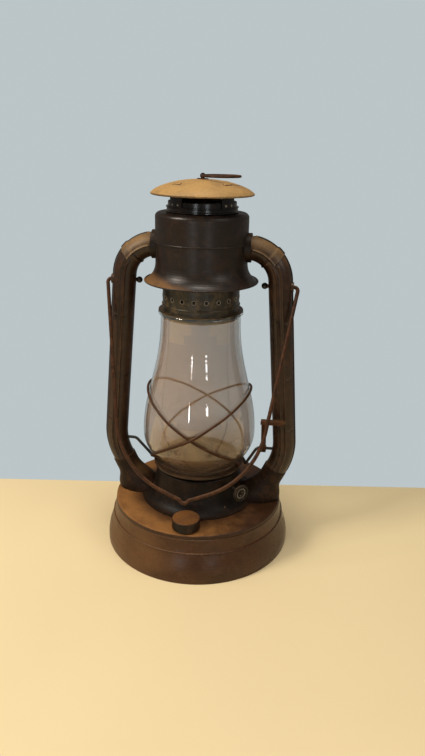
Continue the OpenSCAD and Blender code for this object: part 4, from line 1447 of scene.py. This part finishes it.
@dataclass
class GlobeLift:
    """The crank under the globe plate and its lever."""
    shop: Workshop
    plate: float = 86.0
    axis_z: float = 104.5
    r: float = 1.5
    yoke_y: float = 42.0
    yoke_x: float = 49.5
    slopes: tuple[float, float] = (60.0, 48.0)
    bend: float = 6.0
    end: float = 81.4

    def half(self, slope: float) -> list[Vector]:
        """The middle line of half the wire, from the tube to the middle of the yoke.

        Args:
            slope: The slope of its arm.

        Returns:
            The line, drawn on the right.
        """
        low = self.plate - 0.3 - self.r
        c = (self.yoke_x ** 2 - self.yoke_y ** 2) / (2 * self.yoke_y)
        rad = self.yoke_y + c
        turn = math.degrees(math.asin(c / rad))
        arm = (self.axis_z - low - self.bend * (1 - cos(slope))) / sin(slope)
        arm_x = self.yoke_x + self.bend * sin(slope) + arm * cos(slope)
        yoke = [Vector((rad * cos(a), rad * sin(a) - c, low)) for a in spaced(turn + 4, 90, 24)]
        half = [Vector((self.end, 0, self.axis_z)), Vector((arm_x + 1, 0, self.axis_z))]
        half += [Vector((arm_x - self.bend * sin(a), 0, self.axis_z - self.bend * (1 - cos(a))))
                 for a in spaced(0.0, slope, 12)[1:]]
        last, corner = half[-1], Vector((self.yoke_x, 0, low))
        foot = last + (arm - 3) * Vector((-cos(slope), 0, -sin(slope)))
        half += [last.lerp(foot, i / 4) for i in range(1, 5)]
        half += [(1 - t) ** 2 * foot + 2 * t * (1 - t) * corner + t * t * yoke[0]
                 for t in spaced(0.0, 1.0, 10)[1:-1]]
        return half + yoke

    def crank(self) -> Shell:
        """The bent wire, from the right tube under the plate to the left tube."""
        right, left = (self.half(slope) for slope in self.slopes)
        return Shell.wire(right + [Vector((-p.x, p.y, p.z)) for p in left[-2::-1]], self.r)

    def build(self) -> None:
        """Makes the crank and dresses the lever."""
        self.shop.piece("crank_wire", self.crank(), CRANK, "lift", "black_steel", "lift_crank")
        self.shop.dress(RUSTY, "lift_lever")


@dataclass
class Chimney:
    """The perforated collar, the chimney and its cap, the lift ring and the spring."""
    shop: Workshop
    turn: float = 8.0
    strap_r: float = 31.7
    strap_az: float = 47.0
    strap_z: float = 349.6
    cap_r: float = 47.3
    cap_z: float = 355.8
    dome_h: float = 12.6
    tab_r: float = 30.5
    tab_long: float = 3.2
    tab_half: float = 4.4
    tab_back: float = 0.8
    collar_r: float = 36.9
    vent_z: float = 262.5
    vent_r: float = 1.8
    vent_n: int = 20
    spring_r: float = 34.0
    spring_w: float = 0.9
    spring_low: float = 286.0
    spring_high: float = 337.9
    curls: int = 6
    globe_travel: float = 0.0202
    chimney_travel: float = 0.018

    def __post_init__(self) -> None:
        """Works out the cap's outline and the directions of the four straps."""
        top = self.cap_z + self.dome_h
        shoulder = (self.cap_r - 3.5, self.cap_z + self.dome_h * 0.52)
        self.dome = bezier((self.cap_r, self.cap_z + 0.6), shoulder, (self.cap_r * 0.45, top), (6, top), 60)
        self.straps = [180 * k - 90 + s * self.strap_az + self.turn for k in (0, 1) for s in (-1, 1)]

    def tabs(self, steps: Line) -> Shell:
        """The ends of the straps, bent over on the cap, or a slightly larger dark margin under each: the slot
        that it comes through and painted shadow round the tab.

        Args:
            steps: What is added to the outline, and its height over the cap, from below to the top.

        Returns:
            The four tabs.
        """
        rings = []
        for grow, lift in steps:
            half = self.tab_half + grow
            edge = [((self.tab_long + grow) * cos(a), half * sin(a)) for a in spaced(-90, 90, 16)]
            edge += [(-self.tab_back - grow, half * (1 - 2 * j / 7)) for j in range(8)]
            ring = []
            for u, w in edge:
                r = self.tab_r - u
                ring.append(Vector((r, w, lookup(math.hypot(r, w), self.dome) + lift)))
            rings.append(ring)
        return sum((Shell.loft(rings).turn(az) for az in self.straps), Shell())

    def vent_highlights(self) -> Shell:
        """Bright rims round the collar's vents, a painted highlight for the light that shows at each vent.

        Returns:
            All rims in one shell.
        """
        shell = Shell()
        reach = self.vent_r + 0.15
        for k in range(self.vent_n):
            az = 360 * (k + 0.5) / self.vent_n + self.turn
            rim = [polar(self.collar_r, az + math.degrees(reach * cos(15 * j) / self.collar_r),
                         self.vent_z + reach * sin(15 * j)) for j in range(25)]
            shell += Shell.wire(rim, 0.3, 8)
        return shell

    def rivets(self) -> Shell:
        """The rivets that hold the straps to the neck.

        Returns:
            All rivets in one shell.
        """
        shell = Shell()
        for az in (strap + side for strap in self.straps for side in (-6.5, 6.5)):
            shell += Shell.dome(polar(self.strap_r + 0.9, az, self.strap_z - 2.2), polar(1, az, 0), 1.2, 0.6)
        return shell

    def coil(self, start: float, end: float) -> Shell:
        """A share of the spring.

        Args:
            start: Where it starts, from 0 at its foot to 1 at its top.
            end: Where it ends.

        Returns:
            The wire.
        """
        flat = 0.5 / self.curls
        rise = ((0.0, 0.0), (flat, 0.1), (1 - flat, 0.9), (1.0, 1.0))
        path = [polar(self.spring_r, 360 * self.curls * t,
                      self.spring_low + (self.spring_high - self.spring_low) * lookup(t, rise))
                for t in spaced(start, end, int(48 * self.curls * (end - start)))]
        return Shell.wire(path, self.spring_w, 10)

    def build(self) -> None:
        """Dresses the chimney and adds its tabs, rivets and spring."""
        self.shop.dress(PATINA, "perforated_collar", "chimney_tube")
        self.shop.dress(BLACK, "neck_ring", "cap_straps")
        self.shop.dress(CAP, "chimney_cap")
        self.shop.dress(RUSTY, "ring_eye", "lift_ring")
        # The second, larger dark set is the slot each tab comes through plus painted shadow round the tab.
        tabs, slot_shadows = (self.tabs(steps) for steps in (((0.0, -0.3), (0.0, 0.55), (-0.4, 0.85)),
                                                      ((0.5, -0.3), (0.5, 0.12), (0.3, 0.16))))
        for name, shell, finish, slot, sharp in (("cap_tabs", tabs, CAP, "dusty_tin", 50),
                                                 ("cap_slots_and_shadow", slot_shadows, SEAM, "dusty_tin", 50),
                                                 ("strap_rivets", self.rivets(), STUD_AND_HIGHLIGHT, "black_steel", 60),
                                                 # The bright rims round the vents are a painted highlight.
                                                 ("vent_highlights", self.vent_highlights(), STUD_AND_HIGHLIGHT, "patina_tin", 60)):
            self.shop.piece(name, shell, finish, "chimney", slot, sharp=sharp)
        upper = self.shop.piece("spring_upper", self.coil(0.5, 1.0), SPRING, "frame", "spring_steel",
                                "chimney_spring")
        lower = self.shop.piece("spring_lower", self.coil(0.0, 0.5), SPRING, "chimney", "spring_steel")
        low, high = self.spring_low * MM, self.spring_high * MM
        half = high - (self.spring_low + self.spring_high) / 2 * MM
        (half - self.globe_travel) / half
        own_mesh(upper)
        (half - self.chimney_travel) / half
        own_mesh(lower)


@dataclass
class Bail:
    """The wire handle."""
    shop: Workshop
    z: float = 274.0
    r: float = 1.8
    leg_x: float = 91.8
    leg_bend: float = 3.6
    leg_in: float = 8.7
    leg_l: float = 135.0
    bow_r: float = 80.0
    bow_slope: float = 21.0
    notch_r: float = 4.0
    notch_a: float = 35.0
    tilt: float = 24.0
    head_x: float = 60.62
    head_r: float = 3.1

    def half(self) -> list[Vector]:
        """The right half of the wire's middle line, in the bail's own plane.

        Returns:
            The line, from the head to the top of the bow.
        """
        start = self.leg_x - self.leg_bend
        turn, slope = 90 + self.leg_in, 180 - self.bow_slope
        corner = (start + self.leg_bend * sin(turn) + self.leg_l * cos(turn)
                  + self.bow_r * (sin(slope) - sin(turn)))
        shift = self.notch_r * (sin(slope) - 2 * sin(slope - self.notch_a))
        side = (corner + shift) / cos(self.bow_slope)
        runs = [(start - self.head_x, self.leg_bend, turn), (self.leg_l, self.bow_r, slope - turn),
                (side, self.notch_r, -self.notch_a), (0.0, self.notch_r, self.bow_slope + self.notch_a)]
        heading, path = 0.0, [Vector((self.head_x, 0.0))]
        for length, radius, angle in runs:
            p, ahead = path[-1].copy(), Vector((cos(heading), sin(heading)))
            if length:
                path += [p + s * ahead for s in spaced(0.0, length, max(1, int(length / 12)))[1:]]
            reach = math.copysign(radius, angle)
            centre = p + length * ahead + reach * Vector((-ahead.y, ahead.x))
            path += [centre + reach * Vector((sin(a), -cos(a)))
                     for a in spaced(heading, heading + angle, max(6, int(abs(angle) / 4)))[1:]]
            heading += angle
        return path

    def place(self) -> Matrix:
        """From the bail's own plane to where it hangs."""
        return Matrix.Translation((0, 0, self.z)) @ spin(-90 - self.tilt, "X")

    def wire(self) -> Shell:
        """The whole wire.

        Returns:
            The shell.
        """
        half = [Vector((p.x, p.y, 0)) for p in self.half()]
        path = half + [Vector((-p.x, p.y, 0)) for p in half[-2::-1]]
        return Shell.wire(path, self.r, 16).moved(self.place())

    def heads(self) -> Shell:
        """The round heads of the wire inside the tubes.

        Returns:
            Both in one shell.
        """
        rings = [[Vector((self.head_x + self.head_r * sin(a), self.head_r * cos(a) * cos(t),
                          self.head_r * cos(a) * sin(t))) for t in circle(20)] for a in range(-75, 90, 15)]
        return sum((Shell.loft(rings).on(hand) for hand in Hand), Shell()).moved(self.place())

    def build(self) -> None:
        """Makes the bail."""
        self.shop.piece("bail_wire", self.wire(), RUSTY, "bail", "rusty_wire", "bail")
        self.shop.piece("bail_heads", self.heads(), BLACK, "bail", "black_steel")


@dataclass(frozen=True)
class Lamp:
    """A soft lamp that faces the lantern, in metres and watts."""
    name: str
    at: Place
    wide: float
    tall: float
    power: float
    colour: Colour
    aim: Place = (0.0, 0.0, 0.17)

    def hang(self) -> None:
        """Adds the lamp to the scene."""
        data = bpy.data.lights.new(self.name, "AREA")
        data.shape, data.size, data.size_y = "RECTANGLE", self.wide, self.tall
        data.energy, data.color = self.power, self.colour
        lamp = bpy.data.objects.new(self.name, data)
        lamp.location = self.at
        lamp.rotation_euler = (Vector(self.aim) - Vector(self.at)).to_track_quat("-Z", "Y").to_euler()
        bpy.context.scene.collection.objects.link(lamp)


LAMPS = (Lamp("key", (-0.95, -0.6, 1.15), 0.4, 0.4, 16.0, (1.0, 0.92, 0.8)),
         Lamp("fill", (0.95, -0.6, 0.9), 0.5, 0.5, 3.0, (1.0, 0.95, 0.88)),
         Lamp("top", (0.0, -0.1, 1.6), 0.5, 0.5, 11.0, (1.0, 0.95, 0.86)),
         Lamp("left_window", (-0.27, -1.3, 0.2), 0.035, 0.16, 1.0, (0.9, 0.96, 1.0)),
         Lamp("right_window", (0.56, -1.2, 0.22), 0.1, 0.12, 0.75, (0.9, 0.96, 1.0)))


@dataclass
class Studio:
    """The pale top, the light and the camera."""
    shop: Workshop
    eye: Place = (94.1, -581.5, 396.2)
    heading: tuple[float, float] = (-0.1385, 0.9904)
    pitch: float = 20.415
    roll: float = 1.2376
    focal: float = 621.97
    height: int = 756
    sensor: float = 36.0
    back_edge: float = 97.0
    front_edge: float = -900.0
    half_width: float = 1300.0
    thick: float = 18.0
    wall: Colour = (0.5, 0.56, 0.575)
    light: Colour = (1.0, 0.95, 0.88)
    light_power: float = 0.2

    def __post_init__(self) -> None:
        """Works out the level directions ahead and to the right of the camera."""
        self.ahead = Vector((*self.heading, 0)).normalized()
        self.right = self.ahead.cross(Vector((0, 0, 1)))

    def camera(self) -> None:
        """Places the camera where the picture was taken from."""
        look = cos(self.pitch) * self.ahead + Vector((0, 0, -sin(self.pitch)))
        up = self.right.cross(look)
        side = cos(self.roll) * self.right + sin(self.roll) * up
        head = cos(self.roll) * up - sin(self.roll) * self.right
        data = bpy.data.cameras.new("camera")
        data.sensor_width = self.sensor
        data.lens = self.sensor * self.focal / self.height
        data.clip_start, data.clip_end = 0.01, 100.0
        camera = bpy.data.objects.new("camera", data)
        turn = Matrix((side, head, -look)).transposed().to_4x4()
        camera.matrix_world = Matrix.Translation(Vector(self.eye) * MM) @ turn
        bpy.context.scene.collection.objects.link(camera)
        bpy.context.scene.camera = camera

    def floor(self) -> None:
        """Lays the pale top, which ends a little behind the lantern."""
        near, far, half = self.front_edge, self.back_edge, self.half_width
        rim = ((near, -half), (near, half), (far, half), (far, -half))
        corners = [self.ahead * a + self.right * b for a, b in rim]
        points = [c + Vector((0, 0, z)) for z in (-0.1, -self.thick) for c in corners]
        sides = [[i, i + 4, (i + 1) % 4 + 4, (i + 1) % 4] for i in range(4)]
        shell = Shell(points, [[0, 1, 2, 3], [7, 6, 5, 4], *sides])
        self.shop.mesh("floor", shell, FloorFinish("pale_top"))

    def world(self) -> None:
        """Makes the pale surroundings."""
        world = bpy.data.worlds.new("surroundings")
        world.use_nodes = True
        bpy.context.scene.world = world
        g = Graph(world.node_tree)
        seen = g.node("LightPath").outputs
        shown = g.most(seen["Is Camera Ray"], seen["Is Transmission Ray"])
        pale = g.node("Background", {"Color": self.wall, "Strength": 1.0})
        light = g.node("Background", {"Color": self.light, "Strength": self.light_power})
        both = g.node("MixShader", {0: shown, 1: light.outputs[0], 2: pale.outputs[0]})
        g.plug(world.node_tree.nodes["World Output"].inputs["Surface"], both.outputs[0])

    def build(self) -> None:
        """Sets the camera, the floor, the lamps and the view."""
        self.camera()
        self.floor()
        for lamp in LAMPS:
            lamp.hang()
        self.world()
        bpy.context.scene.view_settings.view_transform = "Standard"


def main() -> None:
    """Builds the lantern and its studio in order."""
    logging.basicConfig(level=logging.INFO, format="%(name)s: %(message)s")
    shop = Workshop(frame["nodes"])
    Studio(shop).build()
    for assembly in (SideTubes(shop), Fount(shop), AirChamber(shop), Burner(shop), HoodPieces(shop),
                     GlobeCarriage(shop), GlobeLift(shop), Chimney(shop), Bail(shop)):
        assembly.build()


if __name__ == "__main__":
    main()
